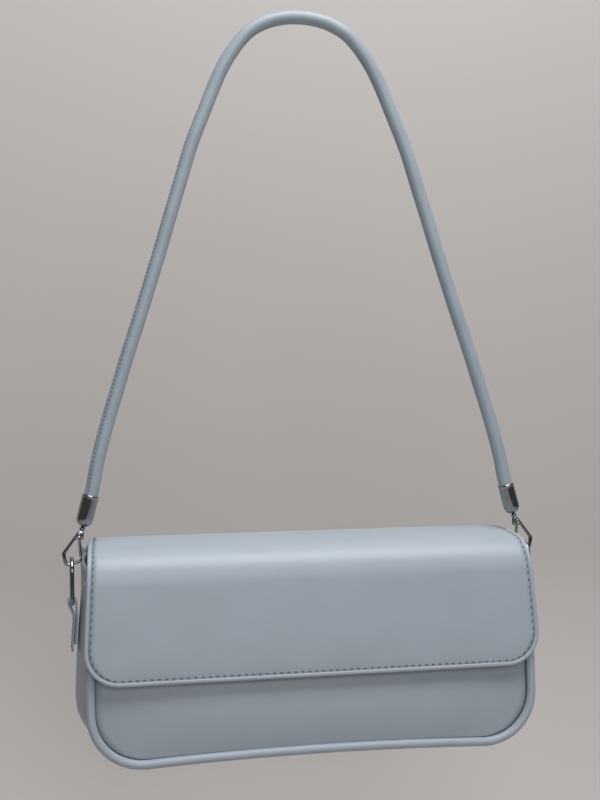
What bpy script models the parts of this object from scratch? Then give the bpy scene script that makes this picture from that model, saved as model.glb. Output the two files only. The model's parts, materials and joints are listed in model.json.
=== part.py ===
"""Mini flap bag with a rolled leather strap, metal end caps, snap hooks and rings.

Metres, +Z up. The origin is the underside of the strap at its crown, X runs to the right
of someone facing the flap, and Y runs from the flap to the back of the bag.
"""

import math

import bmesh
import bpy
import numpy as np
from mathutils import Vector

# Shared clearances
GAP = 0.0003
OVERRUN = 0.002
MERGE = 0.00001

# Strap
STRAP_RADIUS = 0.0040
STRAP_WALL = 0.0011
STRAP_PITCH = 0.0160
STRAP_OUT_SHARES = [
    0.0000, 0.0799, 0.1598, 0.2398, 0.3109, 0.3772, 0.4579, 0.5203, 0.5698,
    0.6194, 0.6673, 0.7177, 0.7688, 0.8216, 0.8711, 0.9223, 0.9670,
]
STRAP_HEIGHTS = [
    0.0040, 0.0031, 0.0002, -0.0057, -0.0160, -0.0300, -0.0540, -0.0740, -0.0940,
    -0.1140, -0.1340, -0.1540, -0.1740, -0.1940, -0.2140, -0.2350, -0.2560,
]
STRAP_STRAIGHT = 0.0040
STRAP_IN_CAP = 0.0110

# End caps, whose axis leans outward on its way down
CAP_INSIDE_HOOK = 0.0039
CAP_MOUTH_Z = -0.2756
CAP_LEAN = math.radians(14.7)
CAP_WALL = 0.0005
CAP_LENGTH = 0.0185
CAP_DOME = 0.0048
CAP_FLOOR = 0.0009
CAP_HOLE_RADIUS = 0.0012
CAP_LIP = 0.0003

# Swivel posts
POST_RADIUS = 0.0009
POST_HEAD_RADIUS = 0.0023
POST_HEAD_FOOT = 0.0016
POST_HEAD_HEIGHT = 0.0014
POST_COLLAR_RADIUS = 0.0015
POST_COLLAR_HEIGHT = 0.0013

# Snap hooks: flat loops with a hinged gate
HOOK_UNDER_POST = 0.00016
HOOK_WIDTH = 0.0130
HOOK_HEIGHT = 0.0208
HOOK_THICKNESS = 0.0024
HOOK_EDGE = 0.0003
BAR_TOP_SHARE = -0.806
HOOK_OUTLINE_SHARES = [
    (0.000, -0.030), (0.235, 0.000), (1.000, -0.625), (0.900, -0.923), (0.785, -1.000),
    (0.115, -0.885), (0.115, -0.755), (0.185, -0.755), (0.192, BAR_TOP_SHARE), (0.738, -0.904),
    (0.831, -0.644), (0.400, -0.260), (0.020, -0.274),
]
HOOK_BAR_SHARES = (0.562, -0.915)
PIN_PLACE_SHARES = (0.225, -0.142)
PIN_RADIUS = 0.00065
PIN_HOLE_RADIUS = 0.0009
PIN_HEAD_RADIUS = 0.0014
PIN_HEAD_HEIGHT = 0.0006
PIN_HEAD_CROWN_SHARES = (0.7, 0.8)
GATE_SLOT = 0.0013
GATE_THICKNESS = 0.0008
GATE_EYE_RADIUS = 0.0015
GATE_WIDTH = 0.0017
GATE_KNEE_SHARES = (0.160, -0.300)
GATE_TIP_SHARES = (0.181, -0.735)
SLOT_CORNER_SHARES = (0.354, -0.048)

# Rings between hooks and tabs
RING_SLACK = 0.0004
RING_WIRE_RADIUS = 0.0012
RING_HALF_WIDTH = 0.0078
RING_CORNER = 0.0026
RING_OVER_BAR = 0.0006
RING_HEIGHT = 0.0249

# Tabs that hold the rings on the gusset
TAB_WIDTH = 0.0120
TAB_THICKNESS = 0.0012
TAB_DROP = 0.0270
TAB_INNER_SHORTER = 0.0040
TAB_EASE = 0.0080
TAB_SEAT = 0.0005
TAB_RING_GAP = 0.00045

# Body of the bag
BAG_WIDTH = 0.2603
BACK_Y = 0.0375
BAG_UNDER_HOOK_TOP = 0.0087
BAG_HEIGHT = 0.1234
BOTTOM_ARCH = 0.0045
CORNER_RADIUS = 0.0334
PIPING_RADIUS = 0.0026
PIPING_WALL = 0.0008
PANEL_THICKNESS = 0.0012
PANEL_RECESS = 0.0008
FRONT_TOP_DROP = 0.0127
FRONT_LEAN = 0.0070
PILLOW = 0.0030
PILLOW_TOP = 0.0020
GUSSET_DROP = 0.0075
GUSSET_BULGE_TOP = 0.0025
GUSSET_BULGE_MAX = 0.0073
GUSSET_BULGE_FLOOR = 0.0006
GUSSET_BULGE_RISE = 0.0380
GUSSET_EASE_SHARE = 1.4
LINING_THICKNESS = 0.0005
LINING_INSET = 0.0012
LINING_DROP = 0.0080
LINING_CORNER = 0.0080
BOARD_THICKNESS = 0.0015
BOARD_MARGIN = 0.0060
POCKET_WIDTH = 0.1200
POCKET_DROP = 0.0345
POCKET_HEIGHT = 0.0600
POCKET_BULGE = 0.0070
POCKET_THICKNESS = 0.0005

# Flap
FLAP_INSIDE_BAG = 0.0014
FLAP_BACK_SHARE = 0.969
FLAP_HEM_SHARE = 1.027
FOLD_DEPTH = 0.0680
FOLD_DROP = 0.0048
FOLD_DOME = 0.0035
FOLD_REACH = 0.0160
HEM_DROP = 0.0747
FLAP_CORNER_RADIUS = 0.0203
FLAP_OUTER = 0.0010
FLAP_STIFFENER = 0.0005
FLAP_LINING = 0.0008
STIFFENER_MARGIN = 0.0060
RIM_RADIUS = 0.0017
FOLD_AXIS_PROUD = 0.0003
FLAP_SLOPE_SHARE = 1.1

# Magnetic snap between flap and front
SNAP_OVER_HEM = 0.0140
SNAP_RADIUS = 0.0085
SNAP_SOCKET_HEIGHT = 0.0022
SNAP_HOLE_RADIUS = 0.0036
SNAP_BASE_HEIGHT = 0.0009
SNAP_POST_RADIUS = 0.0024
SNAP_POST_HEIGHT = 0.0010
SNAP_EDGE = 0.0003
WASHER_RADIUS = 0.0060
WASHER_HEIGHT = 0.0004

# Sizes that follow from the ones above
HALF_WIDTH = BAG_WIDTH / 2
CAP_RADIUS = STRAP_RADIUS + GAP + CAP_WALL
FLAP_THICKNESS = FLAP_OUTER + GAP + FLAP_STIFFENER + GAP + FLAP_LINING
FLAP_HALF = HALF_WIDTH - FLAP_INSIDE_BAG
RIM_PROUD = RIM_RADIUS - FLAP_THICKNESS / 2
HOOK_TOP_Z = CAP_MOUTH_Z - (CAP_LENGTH + GAP + POST_COLLAR_HEIGHT) * math.cos(CAP_LEAN) - HOOK_UNDER_POST
TOP_Z = HOOK_TOP_Z - BAG_UNDER_HOOK_TOP
BOTTOM_Z = TOP_Z - BAG_HEIGHT
FOLD_Y = BACK_Y - FOLD_DEPTH
FOLD_Z = TOP_Z - FOLD_DROP
FRONT_TOP_Z = FOLD_Z - FRONT_TOP_DROP
HEM_Z = TOP_Z - HEM_DROP
SNAP_Z = HEM_Z + SNAP_OVER_HEM
POCKET_TOP_Z = TOP_Z - POCKET_DROP
GUSSET_BULGE_Z = BOTTOM_Z + GUSSET_BULGE_RISE
PIPING_BEHIND_FLAP = (FLAP_THICKNESS + RIM_PROUD + GAP + PIPING_RADIUS) * FLAP_SLOPE_SHARE
PIPING_HALF = HALF_WIDTH - PIPING_RADIUS
PIPING_CORNER = CORNER_RADIUS - PIPING_RADIUS
PIPING_BOTTOM_Z = BOTTOM_Z + PIPING_RADIUS
BACK_TOP_Z = TOP_Z - FLAP_THICKNESS / 2 - RIM_RADIUS - GAP - 2 * PIPING_RADIUS * FOLD_DROP / FOLD_DEPTH
BACK_PIPING_Y = BACK_Y - PANEL_THICKNESS / 2
BAR_Z = HOOK_TOP_Z + HOOK_HEIGHT * HOOK_BAR_SHARES[1]
BAR_HALF = HOOK_HEIGHT * (BAR_TOP_SHARE - HOOK_BAR_SHARES[1]) / 2
RING_TOP_Z = BAR_Z + BAR_HALF + RING_OVER_BAR + RING_WIRE_RADIUS
RING_BOTTOM_Z = RING_TOP_Z - RING_HEIGHT
TAB_END_Z = RING_BOTTOM_Z - TAB_DROP
TAB_REACH = RING_WIRE_RADIUS + TAB_RING_GAP + TAB_THICKNESS / 2

LEATHER = ((0.55, 0.66, 0.75), 0.45, 0.0)
LEATHER_INNER = ((0.50, 0.58, 0.66), 0.60, 0.0)
CLOTH = ((0.62, 0.68, 0.74), 0.85, 0.0)
BOARD = ((0.35, 0.33, 0.31), 0.80, 0.0)
CORE = ((0.75, 0.74, 0.72), 0.90, 0.0)
METAL = ((0.62, 0.62, 0.64), 0.15, 1.0)

SIDES = (("left", -1), ("right", 1))


def new_collection(name):
    """A collection of that name, linked to the scene."""
    collection = bpy.data.collections.new(name)
    bpy.context.scene.collection.children.link(collection)
    return collection


def add_empty(name, place, parent=None):
    """An empty on a joint axis, which carries the pieces that move about it."""
    empty = bpy.data.objects.new(name, None)
    PARTS.objects.link(empty)
    empty.location = place
    bpy.context.view_layer.update()
    if parent:
        empty.parent = parent
        empty.matrix_parent_inverse = parent.matrix_world.inverted()
    bpy.context.view_layer.update()
    return empty


def finish_object(obj, finish, carrier):
    """Give an object its own material, its collection and the empty that carries it."""
    color, roughness, metallic = finish
    material = bpy.data.materials.new(obj.name + "_material")
    material.use_nodes = True
    shader = material.node_tree.nodes["Principled BSDF"]
    shader.inputs["Base Color"].default_value = (*color, 1.0)
    shader.inputs["Roughness"].default_value = roughness
    shader.inputs["Metallic"].default_value = metallic
    obj.data.materials.append(material)
    PARTS.objects.link(obj)
    if carrier:
        obj.parent = carrier
        obj.matrix_parent_inverse = carrier.matrix_world.inverted()
    return obj


def solidify(obj, thickness, offset=-1.0):
    """Thicken an open surface, inwards unless told otherwise."""
    modifier = obj.modifiers.new("wall", "SOLIDIFY")
    modifier.thickness = thickness
    modifier.offset = offset
    modifier.use_even_offset = False


def smooth_path(points, pitch):
    """Points at an even pitch along a smooth curve through the given ones."""
    points = np.asarray(points, dtype=float)
    ends = [2 * points[0] - points[1], *points, 2 * points[-1] - points[-2]]
    t = np.linspace(0.0, 1.0, 20, endpoint=False)[:, None]
    dense = []
    for p0, p1, p2, p3 in zip(ends, ends[1:], ends[2:], ends[3:]):
        dense.append(p1 + t * (p2 - p0) / 2 + t ** 2 * (p0 - 2.5 * p1 + 2 * p2 - p3 / 2)
                     + t ** 3 * (1.5 * (p1 - p2) + (p3 - p0) / 2))
    dense = np.vstack([*dense, points[-1:]])
    run = np.concatenate([[0.0], np.cumsum(np.linalg.norm(np.diff(dense, axis=0), axis=1))])
    stops = np.linspace(0.0, run[-1], max(2, round(run[-1] / pitch) + 1))
    return np.column_stack([np.interp(stops, run, dense[:, axis]) for axis in range(dense.shape[1])])


def tube(name, points, radius, finish, carrier, wall=None, cyclic=False, resolution=2):
    """A round wire or, with a wall, a pipe along the points."""
    data = bpy.data.curves.new(name, "CURVE")
    data.dimensions = "3D"
    spline = data.splines.new("POLY")
    spline.points.add(len(points) - 1)
    for target, point in zip(spline.points, points):
        target.co = (*point, 1.0)
    spline.use_cyclic_u = cyclic
    data.bevel_depth = radius
    data.bevel_resolution = resolution
    data.use_fill_caps = wall is None and not cyclic
    obj = bpy.data.objects.new(name, data)
    if wall is not None:
        solidify(obj, wall)
    return finish_object(obj, finish, carrier)


def plate(name, outline, thickness, finish, carrier, y=0.0):
    """A flat piece with an (x, z) outline, centred on the plane at y."""
    data = bpy.data.curves.new(name, "CURVE")
    data.dimensions = "2D"
    data.fill_mode = "BOTH"
    data.extrude = thickness / 2
    spline = data.splines.new("POLY")
    spline.points.add(len(outline) - 1)
    for target, (x, z) in zip(spline.points, outline):
        target.co = (x, z, 0.0, 1.0)
    spline.use_cyclic_u = True
    obj = bpy.data.objects.new(name, data)
    obj.rotation_euler.x = math.pi / 2
    obj.location.y = y
    return finish_object(obj, finish, carrier)


def turned(name, profile, finish, carrier, closed=False, steps=24):
    """A piece turned about its own Z axis from an (r, z) profile that runs down its outer side."""
    data = bpy.data.meshes.new(name)
    edges = [(i, i + 1) for i in range(len(profile) - 1)]
    if closed:
        edges.append((len(profile) - 1, 0))
    data.from_pydata([(r, 0.0, z) for r, z in profile], edges, [])
    obj = bpy.data.objects.new(name, data)
    screw = obj.modifiers.new("turn", "SCREW")
    screw.steps = steps
    screw.render_steps = steps
    screw.use_merge_vertices = True
    screw.merge_threshold = MERGE
    screw.use_smooth_shade = True
    return finish_object(obj, finish, carrier)


def grid_sheet(name, place, thickness, finish, carrier, offset=-1.0):
    """A sheet whose grid points place gives, an array of rows by columns by (x, y, z)."""
    rows, columns = place.shape[:2]
    mesh = bmesh.new()
    bmesh.ops.create_grid(mesh, x_segments=columns - 1, y_segments=rows - 1, size=1.0)
    mesh.verts.ensure_lookup_table()
    for vert, point in zip(mesh.verts, place.reshape(-1, 3)):
        vert.co = Vector(point)
    data = bpy.data.meshes.new(name)
    mesh.to_mesh(data)
    mesh.free()
    data.shade_smooth()
    obj = bpy.data.objects.new(name, data)
    solidify(obj, thickness, offset)
    return finish_object(obj, finish, carrier)


def ring_sheet(name, rings, thickness, finish, carrier):
    """An open pouch: rings of points from its mouth down, with a flat floor."""
    rows, columns = rings.shape[:2]
    verts = [tuple(point) for point in rings.reshape(-1, 3)]
    faces = []
    for row in range(rows - 1):
        for column in range(columns):
            following = (column + 1) % columns
            faces.append((row * columns + column, (row + 1) * columns + column,
                          (row + 1) * columns + following, row * columns + following))
    faces.append(tuple((rows - 1) * columns + column for column in reversed(range(columns))))
    data = bpy.data.meshes.new(name)
    data.from_pydata(verts, [], faces)
    data.shade_smooth()
    obj = bpy.data.objects.new(name, data)
    solidify(obj, thickness)
    return finish_object(obj, finish, carrier)


def as_mesh(obj):
    """Turn a curve object into a welded mesh object of the same name, so that it can be cut."""
    bpy.context.view_layer.update()
    evaluated = obj.evaluated_get(bpy.context.evaluated_depsgraph_get())
    data = bpy.data.meshes.new_from_object(evaluated)
    mesh = bmesh.new()
    mesh.from_mesh(data)
    bmesh.ops.remove_doubles(mesh, verts=mesh.verts, dist=MERGE)
    mesh.to_mesh(data)
    mesh.free()
    name, carrier, matrix = obj.name, obj.parent, obj.matrix_world.copy()
    bpy.data.objects.remove(obj)
    solid = bpy.data.objects.new(name, data)
    PARTS.objects.link(solid)
    solid.parent = carrier
    solid.matrix_parent_inverse = carrier.matrix_world.inverted() if carrier else solid.matrix_parent_inverse
    solid.matrix_basis = matrix
    return solid


def cut(obj, cutter):
    """Take the cutter's shape out of the object."""
    modifier = obj.modifiers.new("cut", "BOOLEAN")
    modifier.operation = "DIFFERENCE"
    modifier.solver = "EXACT"
    modifier.object = cutter


def add_cutter(name, mesh, place, rotation=(0.0, 0.0, 0.0)):
    """A cutter from a bmesh, hidden from the render."""
    data = bpy.data.meshes.new(name)
    mesh.to_mesh(data)
    mesh.free()
    cutter = bpy.data.objects.new(name, data)
    CUTTERS.objects.link(cutter)
    cutter.location = place
    cutter.rotation_euler = rotation
    cutter.hide_render = True
    cutter.display_type = "WIRE"
    return cutter


def cross_hole(name, place, radius, length, segments=16):
    """A round cutter that runs along Y."""
    mesh = bmesh.new()
    bmesh.ops.create_cone(mesh, cap_ends=True, segments=segments, radius1=radius, radius2=radius, depth=length)
    return add_cutter(name, mesh, place, (math.pi / 2, 0.0, 0.0))


def box_cutter(name, place, size):
    """A box cutter of the given size."""
    mesh = bmesh.new()
    bmesh.ops.create_cube(mesh, size=1.0)
    bmesh.ops.scale(mesh, vec=size, verts=mesh.verts)
    return add_cutter(name, mesh, place)


def bottom_arch(x, z):
    """How far a point of the body is lifted by the arch of the bottom."""
    depth_share = np.clip((FRONT_TOP_Z - z) / (FRONT_TOP_Z - BOTTOM_Z), 0.0, 1.0)
    return BOTTOM_ARCH * (1 - np.clip(np.abs(x) / HALF_WIDTH, 0.0, 1.0) ** 2) * depth_share ** 2


def flap_front_y(z):
    """Y of the flap's outer surface at a height below the fold, as if the flap ran to the bottom."""
    share = np.clip((FOLD_Z - z) / (FOLD_Z - BOTTOM_Z), 0.0, 1.0)
    return FOLD_Y - FRONT_LEAN * (1 - (1 - share) ** 2)


def piping_front_y(z):
    """Y of the front piping's centre, which is also the outer face of the front panel's edge."""
    return flap_front_y(z) + PIPING_BEHIND_FLAP


def top_line_z(y):
    """Height over the mouth of the straight line from the flap's back edge to its fold."""
    return TOP_Z - FOLD_DROP * (BACK_Y - y) / FOLD_DEPTH


def corner_rows(half_width, radius, straight, turn, top, bottom):
    """Half widths and heights of rows from the top down to the bottom, round the corners."""
    sides = np.linspace(top, bottom + radius, straight, endpoint=False)
    angles = np.linspace(0.0, math.pi / 2, turn)
    widths = np.concatenate([np.full(straight, half_width), half_width - radius + radius * np.cos(angles)])
    heights = np.concatenate([sides, bottom + radius - radius * np.sin(angles)])
    return widths, heights


def u_path(half_width, radius, top, bottom, straight=7, turn=7, across=9):
    """(x, z) points down the left side, across the bottom and up the right side."""
    widths, heights = corner_rows(half_width, radius, straight, turn, top, bottom)
    floor = np.linspace(-widths[-1], widths[-1], across)[1:-1]
    x = np.concatenate([-widths, floor, widths[::-1]])
    z = np.concatenate([heights, np.full(len(floor), bottom), heights[::-1]])
    return x, z


def flap_profile():
    """Runs, points and outward normals along the flap's outer surface, from the back edge over a
    low dome to the hem, with the runs where its fold starts, is at its middle and ends."""
    back, fold = np.array([BACK_Y, TOP_Z]), np.array([FOLD_Y, FOLD_Z])
    start_share = 1 - FOLD_REACH / math.hypot(FOLD_DEPTH, FOLD_DROP)
    share = np.linspace(0.0, start_share, 30)[:, None]
    top = back + share * (fold - back) + 4 * FOLD_DOME * share * (1 - share) * np.array([0.0, 1.0])
    front_z = np.linspace(FOLD_Z - FOLD_REACH, HEM_Z, 40)
    front = np.column_stack([flap_front_y(front_z), front_z])
    start, end = top[-1], front[0]
    ways = np.column_stack([start - top[-2], front[1] - end])
    along, _ = np.linalg.solve(ways, end - start)
    corner = start + along * ways[:, 0]
    t = np.linspace(0.0, 1.0, 24)[:, None]
    bend = (1 - t) ** 2 * start + 2 * t * (1 - t) * corner + t ** 2 * end
    points = np.vstack([top[:-1], bend[:-1], front])
    run = np.concatenate([[0.0], np.cumsum(np.linalg.norm(np.diff(points, axis=0), axis=1))])
    tangents = np.gradient(points, run, axis=0)
    tangents /= np.linalg.norm(tangents, axis=1)[:, None]
    normals = np.column_stack([tangents[:, 1], -tangents[:, 0]])
    bend_rows = run[len(top) - 1], run[len(top) - 1 + len(bend) // 2], run[len(top) + len(bend) - 2]
    return run, points, normals, bend_rows


def flap_spread(run_at):
    """How wide the flap is at a run, as a share of its width near the fold."""
    return FLAP_BACK_SHARE + (FLAP_HEM_SHARE - FLAP_BACK_SHARE) * run_at / FLAP[0][-1]


def flap_place(run_at, depth):
    """(y, z) on the flap at a run along its profile, that deep under the outer surface."""
    run, points, normals, _ = FLAP
    surface = np.column_stack([np.interp(run_at, run, points[:, axis]) for axis in range(2)])
    facing = np.column_stack([np.interp(run_at, run, normals[:, axis]) for axis in range(2)])
    facing /= np.linalg.norm(facing, axis=1)[:, None]
    return surface - facing * np.asarray(depth)


def flap_layer(name, run_rows, half_widths, depth, thickness, finish, carrier, columns=13):
    """One layer of the flap, its outer face at a depth under the flap's outer surface."""
    yz = flap_place(run_rows, depth)
    across = np.linspace(-1.0, 1.0, columns)
    place = np.empty((len(run_rows), columns, 3))
    place[:, :, 0] = (half_widths * flap_spread(run_rows))[:, None] * across
    place[:, :, 1] = yz[:, 0][:, None]
    place[:, :, 2] = yz[:, 1][:, None]
    return grid_sheet(name, place[::-1], thickness, finish, carrier)


def gusset_bulge(z):
    """How far the gusset swells outwards half way between its edges, at a height."""
    above = np.clip((z - GUSSET_BULGE_Z) / (FRONT_TOP_Z - GUSSET_BULGE_Z), 0.0, 1.0)
    below = np.clip((GUSSET_BULGE_Z - z) / (GUSSET_BULGE_Z - PIPING_BOTTOM_Z), 0.0, 1.0)
    swell = GUSSET_BULGE_MAX + (GUSSET_BULGE_TOP - GUSSET_BULGE_MAX) * above ** GUSSET_EASE_SHARE
    return swell - (swell - GUSSET_BULGE_FLOOR) * (1 - np.cos(math.pi * below)) / 2


def tab_seat_x(z):
    """X of the middle of a tab's inner leg, flat on the gusset at a height."""
    return PIPING_HALF + TAB_SEAT + GAP + TAB_THICKNESS / 2 + gusset_bulge(z)


def ring_x():
    """X of a ring, straight above the legs of its tab."""
    return float(tab_seat_x(RING_BOTTOM_Z - TAB_EASE)) + TAB_REACH + RING_SLACK


def cap_point(side, depth):
    """The point on an end cap's axis at a depth below its mouth."""
    return Vector((side * (CAP_MOUTH_X + depth * math.sin(CAP_LEAN)), 0.0,
                   CAP_MOUTH_Z - depth * math.cos(CAP_LEAN)))


def dome_profile(radius, start, depth, foot):
    """(r, z) points of a dome from its widest ring down to a foot radius."""
    angles = np.linspace(0.0, math.acos(foot / radius), 7)
    return [(radius * math.cos(a), -start - depth * math.sin(a)) for a in angles]


def along_cap(obj, side):
    """Stand a turned piece on the end cap's leaning axis, its zero at the mouth."""
    obj.location = cap_point(side, 0.0)
    obj.rotation_euler.y = -side * CAP_LEAN


def build_strap():
    """The rolled leather strap with its core, which ends inside the caps."""
    lead = cap_point(1, -STRAP_STRAIGHT)
    end = cap_point(1, STRAP_IN_CAP)
    half = [(share * CAP_MOUTH_X, z) for share, z in zip(STRAP_OUT_SHARES, STRAP_HEIGHTS)]
    half += [(lead.x, lead.z), (end.x, end.z)]
    whole = [(-x, z) for x, z in reversed(half[1:])] + half
    route = smooth_path(whole, STRAP_PITCH)
    points = [(x, 0.0, z) for x, z in route]
    tube("strap_cover", points, STRAP_RADIUS, LEATHER, None, wall=STRAP_WALL)
    tube("strap_core", points, STRAP_RADIUS - STRAP_WALL - GAP, CORE, None)


def build_cap(label, side):
    """A bell-shaped end cap, open at its mouth and with a hole for the swivel post."""
    start = CAP_LENGTH - CAP_DOME
    inner = CAP_RADIUS - CAP_WALL
    outer_dome = dome_profile(CAP_RADIUS, start, CAP_DOME, CAP_HOLE_RADIUS)
    inner_dome = dome_profile(inner, start, CAP_DOME - CAP_FLOOR, CAP_HOLE_RADIUS)
    lip = [(CAP_RADIUS, -CAP_LIP)]
    profile = [(CAP_RADIUS - CAP_LIP / 2, 0.0), *lip, *outer_dome, *reversed(inner_dome), (inner, 0.0)]
    cap = turned(f"end_cap_{label}", profile, METAL, None, closed=True)
    along_cap(cap, side)


def build_post(label, side, carrier):
    """The headed post that turns in the end cap and carries the hook."""
    foot = -(CAP_LENGTH - CAP_FLOOR - 2 * GAP)
    collar = -(CAP_LENGTH + GAP)
    profile = [
        (0.0, foot + POST_HEAD_HEIGHT), (POST_HEAD_RADIUS, foot + POST_HEAD_HEIGHT),
        (POST_HEAD_FOOT, foot), (POST_RADIUS, foot), (POST_RADIUS, collar),
        (POST_COLLAR_RADIUS, collar), (POST_COLLAR_RADIUS, collar - POST_COLLAR_HEIGHT),
        (0.0, collar - POST_COLLAR_HEIGHT),
    ]
    post = turned(f"swivel_post_{label}", profile, METAL, carrier, steps=16)
    along_cap(post, side)


def hook_point(side, shares):
    """(x, z) of a place on the hook given as shares of its width and height."""
    return side * (HOOK_LEFT_EDGE + HOOK_WIDTH * shares[0]), HOOK_TOP_Z + HOOK_HEIGHT * shares[1]


def build_hook(label, side, carrier):
    """The hook's loop with its slotted head and the pin of the gate."""
    outline = [hook_point(side, shares) for shares in HOOK_OUTLINE_SHARES]
    frame = as_mesh(plate(f"hook_frame_{label}", outline, HOOK_THICKNESS, METAL, carrier))
    bevel = frame.modifiers.new("edges", "BEVEL")
    bevel.width = HOOK_EDGE
    bevel.segments = 1
    bevel.angle_limit = math.radians(60)
    pin_x, pin_z = hook_point(side, PIN_PLACE_SHARES)
    slot_right, slot_top = hook_point(side, SLOT_CORNER_SHARES)
    slot_left = side * (HOOK_LEFT_EDGE - OVERRUN)
    slot_bottom = pin_z - GATE_EYE_RADIUS - 2 * OVERRUN
    slot_place = ((slot_left + slot_right) / 2, 0.0, (slot_top + slot_bottom) / 2)
    slot_size = (abs(slot_right - slot_left), GATE_SLOT, slot_top - slot_bottom)
    cut(frame, box_cutter(f"slot_cutter_{label}", slot_place, slot_size))
    through = HOOK_THICKNESS + 2 * OVERRUN
    cut(frame, cross_hole(f"pin_cutter_{label}", (pin_x, 0.0, pin_z), PIN_HOLE_RADIUS, through))
    face = HOOK_THICKNESS / 2 + GAP
    crown_radius, crown_height = PIN_HEAD_CROWN_SHARES
    half = [(0.0, face + PIN_HEAD_HEIGHT), (PIN_HEAD_RADIUS * crown_radius, face + PIN_HEAD_HEIGHT * crown_height),
            (PIN_HEAD_RADIUS, face), (PIN_RADIUS, face)]
    profile = half + [(r, -z) for r, z in reversed(half)]
    pin = turned(f"gate_pin_{label}", profile, METAL, carrier, steps=16)
    pin.location = (pin_x, 0.0, pin_z)
    pin.rotation_euler.x = math.pi / 2


def build_gate(label, side, carrier):
    """The sprung bar that closes the hook, with an eye round the pin."""
    eye_x, eye_z = hook_point(1, PIN_PLACE_SHARES)
    knee_x, knee_z = hook_point(1, GATE_KNEE_SHARES)
    tip_x, tip_z = hook_point(1, GATE_TIP_SHARES)
    half = GATE_WIDTH / 2
    angles = np.radians(np.linspace(-30.0, 210.0, 13))
    eye = [(eye_x + GATE_EYE_RADIUS * math.cos(a), eye_z + GATE_EYE_RADIUS * math.sin(a)) for a in angles]
    bar = [(knee_x - half, knee_z), (tip_x - half, tip_z), (tip_x + half, tip_z), (knee_x + half, knee_z)]
    outline = [(side * x, z) for x, z in eye + bar]
    gate = as_mesh(plate(f"hook_gate_{label}", outline, GATE_THICKNESS, METAL, carrier))
    through = HOOK_THICKNESS + 2 * OVERRUN
    cut(gate, cross_hole(f"eye_cutter_{label}", (side * eye_x, 0.0, eye_z), PIN_HOLE_RADIUS, through))


def build_ring(label, side, carrier):
    """The ring with a straight lower bar for the tab and a round top for the hook."""
    straight = RING_HALF_WIDTH - RING_CORNER
    corner = np.radians(np.linspace(-90.0, 0.0, 4))
    corner_y = straight + RING_CORNER * np.cos(corner)
    corner_z = RING_BOTTOM_Z + RING_CORNER + RING_CORNER * np.sin(corner)
    arch = np.radians(np.linspace(0.0, 90.0, 6))
    arch_y = RING_HALF_WIDTH * np.cos(arch)
    arch_z = RING_TOP_Z - RING_HALF_WIDTH + RING_HALF_WIDTH * np.sin(arch)
    right = list(zip(np.concatenate([corner_y, arch_y]), np.concatenate([corner_z, arch_z])))
    left = [(-y, z) for y, z in reversed(right[:-1])]
    points = [(side * RING_X, y, z) for y, z in right + left]
    tube(f"ring_{label}", points, RING_WIRE_RADIUS, METAL, carrier, cyclic=True)


def build_tab(label, side, carrier):
    """A leather strip folded over the ring's lower bar, both legs flat on the gusset."""
    turn = np.radians(np.linspace(0.0, 180.0, 9))
    over_x = RING_X + TAB_REACH * np.cos(turn)
    over_z = RING_BOTTOM_Z + TAB_REACH * np.sin(turn)
    eased = RING_BOTTOM_Z - TAB_EASE
    outer_z = np.linspace(TAB_END_Z, eased, 5)
    inner_z = np.linspace(eased, TAB_END_Z + TAB_INNER_SHORTER, 5)
    outer_x = tab_seat_x(outer_z) + TAB_THICKNESS + GAP
    x = np.concatenate([outer_x, over_x, tab_seat_x(inner_z)])
    z = np.concatenate([outer_z, over_z, inner_z])
    line = np.column_stack([x, z])
    tangents = np.gradient(line, axis=0)
    tangents /= np.linalg.norm(tangents, axis=1)[:, None]
    normals = np.column_stack([tangents[:, 1], -tangents[:, 0]]) * TAB_THICKNESS / 2
    outline = np.vstack([line + normals, (line - normals)[::-1]])
    plate(f"ring_tab_{label}", [(side * px, pz) for px, pz in outline], TAB_WIDTH, LEATHER, carrier)


def build_panels(carrier):
    """The front panel, which swells below the flap, and the flat back panel."""
    inset = PIPING_RADIUS + GAP
    half, corner = PIPING_HALF - inset, PIPING_CORNER - inset
    widths, heights = corner_rows(half, corner, 9, 7, FRONT_TOP_Z, PIPING_BOTTOM_Z + inset)
    across = np.linspace(-1.0, 1.0, 15)
    place = np.empty((len(widths), len(across), 3))
    place[:, :, 0] = widths[:, None] * across
    pillow_top = HEM_Z + PILLOW_TOP
    share = np.clip((pillow_top - heights) / (pillow_top - PIPING_BOTTOM_Z), 0.0, 1.0)
    swell = PILLOW * np.sin(math.pi * share)[:, None] * (1 - across ** 4)
    place[:, :, 1] = piping_front_y(heights)[:, None] + PANEL_RECESS - swell
    place[:, :, 2] = heights[:, None] + bottom_arch(place[:, :, 0], heights[:, None])
    grid_sheet("front_panel", place[::-1], PANEL_THICKNESS, LEATHER, carrier)
    x, z = u_path(half, corner, BACK_TOP_Z, PIPING_BOTTOM_Z + inset)
    z = z + bottom_arch(x, z)
    plate("back_panel", list(zip(x, z)), PANEL_THICKNESS, LEATHER, carrier, BACK_Y - PANEL_THICKNESS / 2)


def build_piping(carrier):
    """The piping round the front and back edges: a leather cover on a cord."""
    x, z = u_path(PIPING_HALF, PIPING_CORNER, FRONT_TOP_Z, PIPING_BOTTOM_Z)
    front = np.column_stack([x, piping_front_y(z), z + bottom_arch(x, z)])
    x, z = u_path(PIPING_HALF, PIPING_CORNER, BACK_TOP_Z, PIPING_BOTTOM_Z)
    back = np.column_stack([x, np.full(len(x), BACK_PIPING_Y), z + bottom_arch(x, z)])
    for name, points in (("front_piping", front), ("back_piping", back)):
        tube(f"{name}_cover", points, PIPING_RADIUS, LEATHER, carrier, wall=PIPING_WALL)
        tube(f"{name}_cord", points, PIPING_RADIUS - PIPING_WALL - GAP, CORE, carrier)


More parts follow.
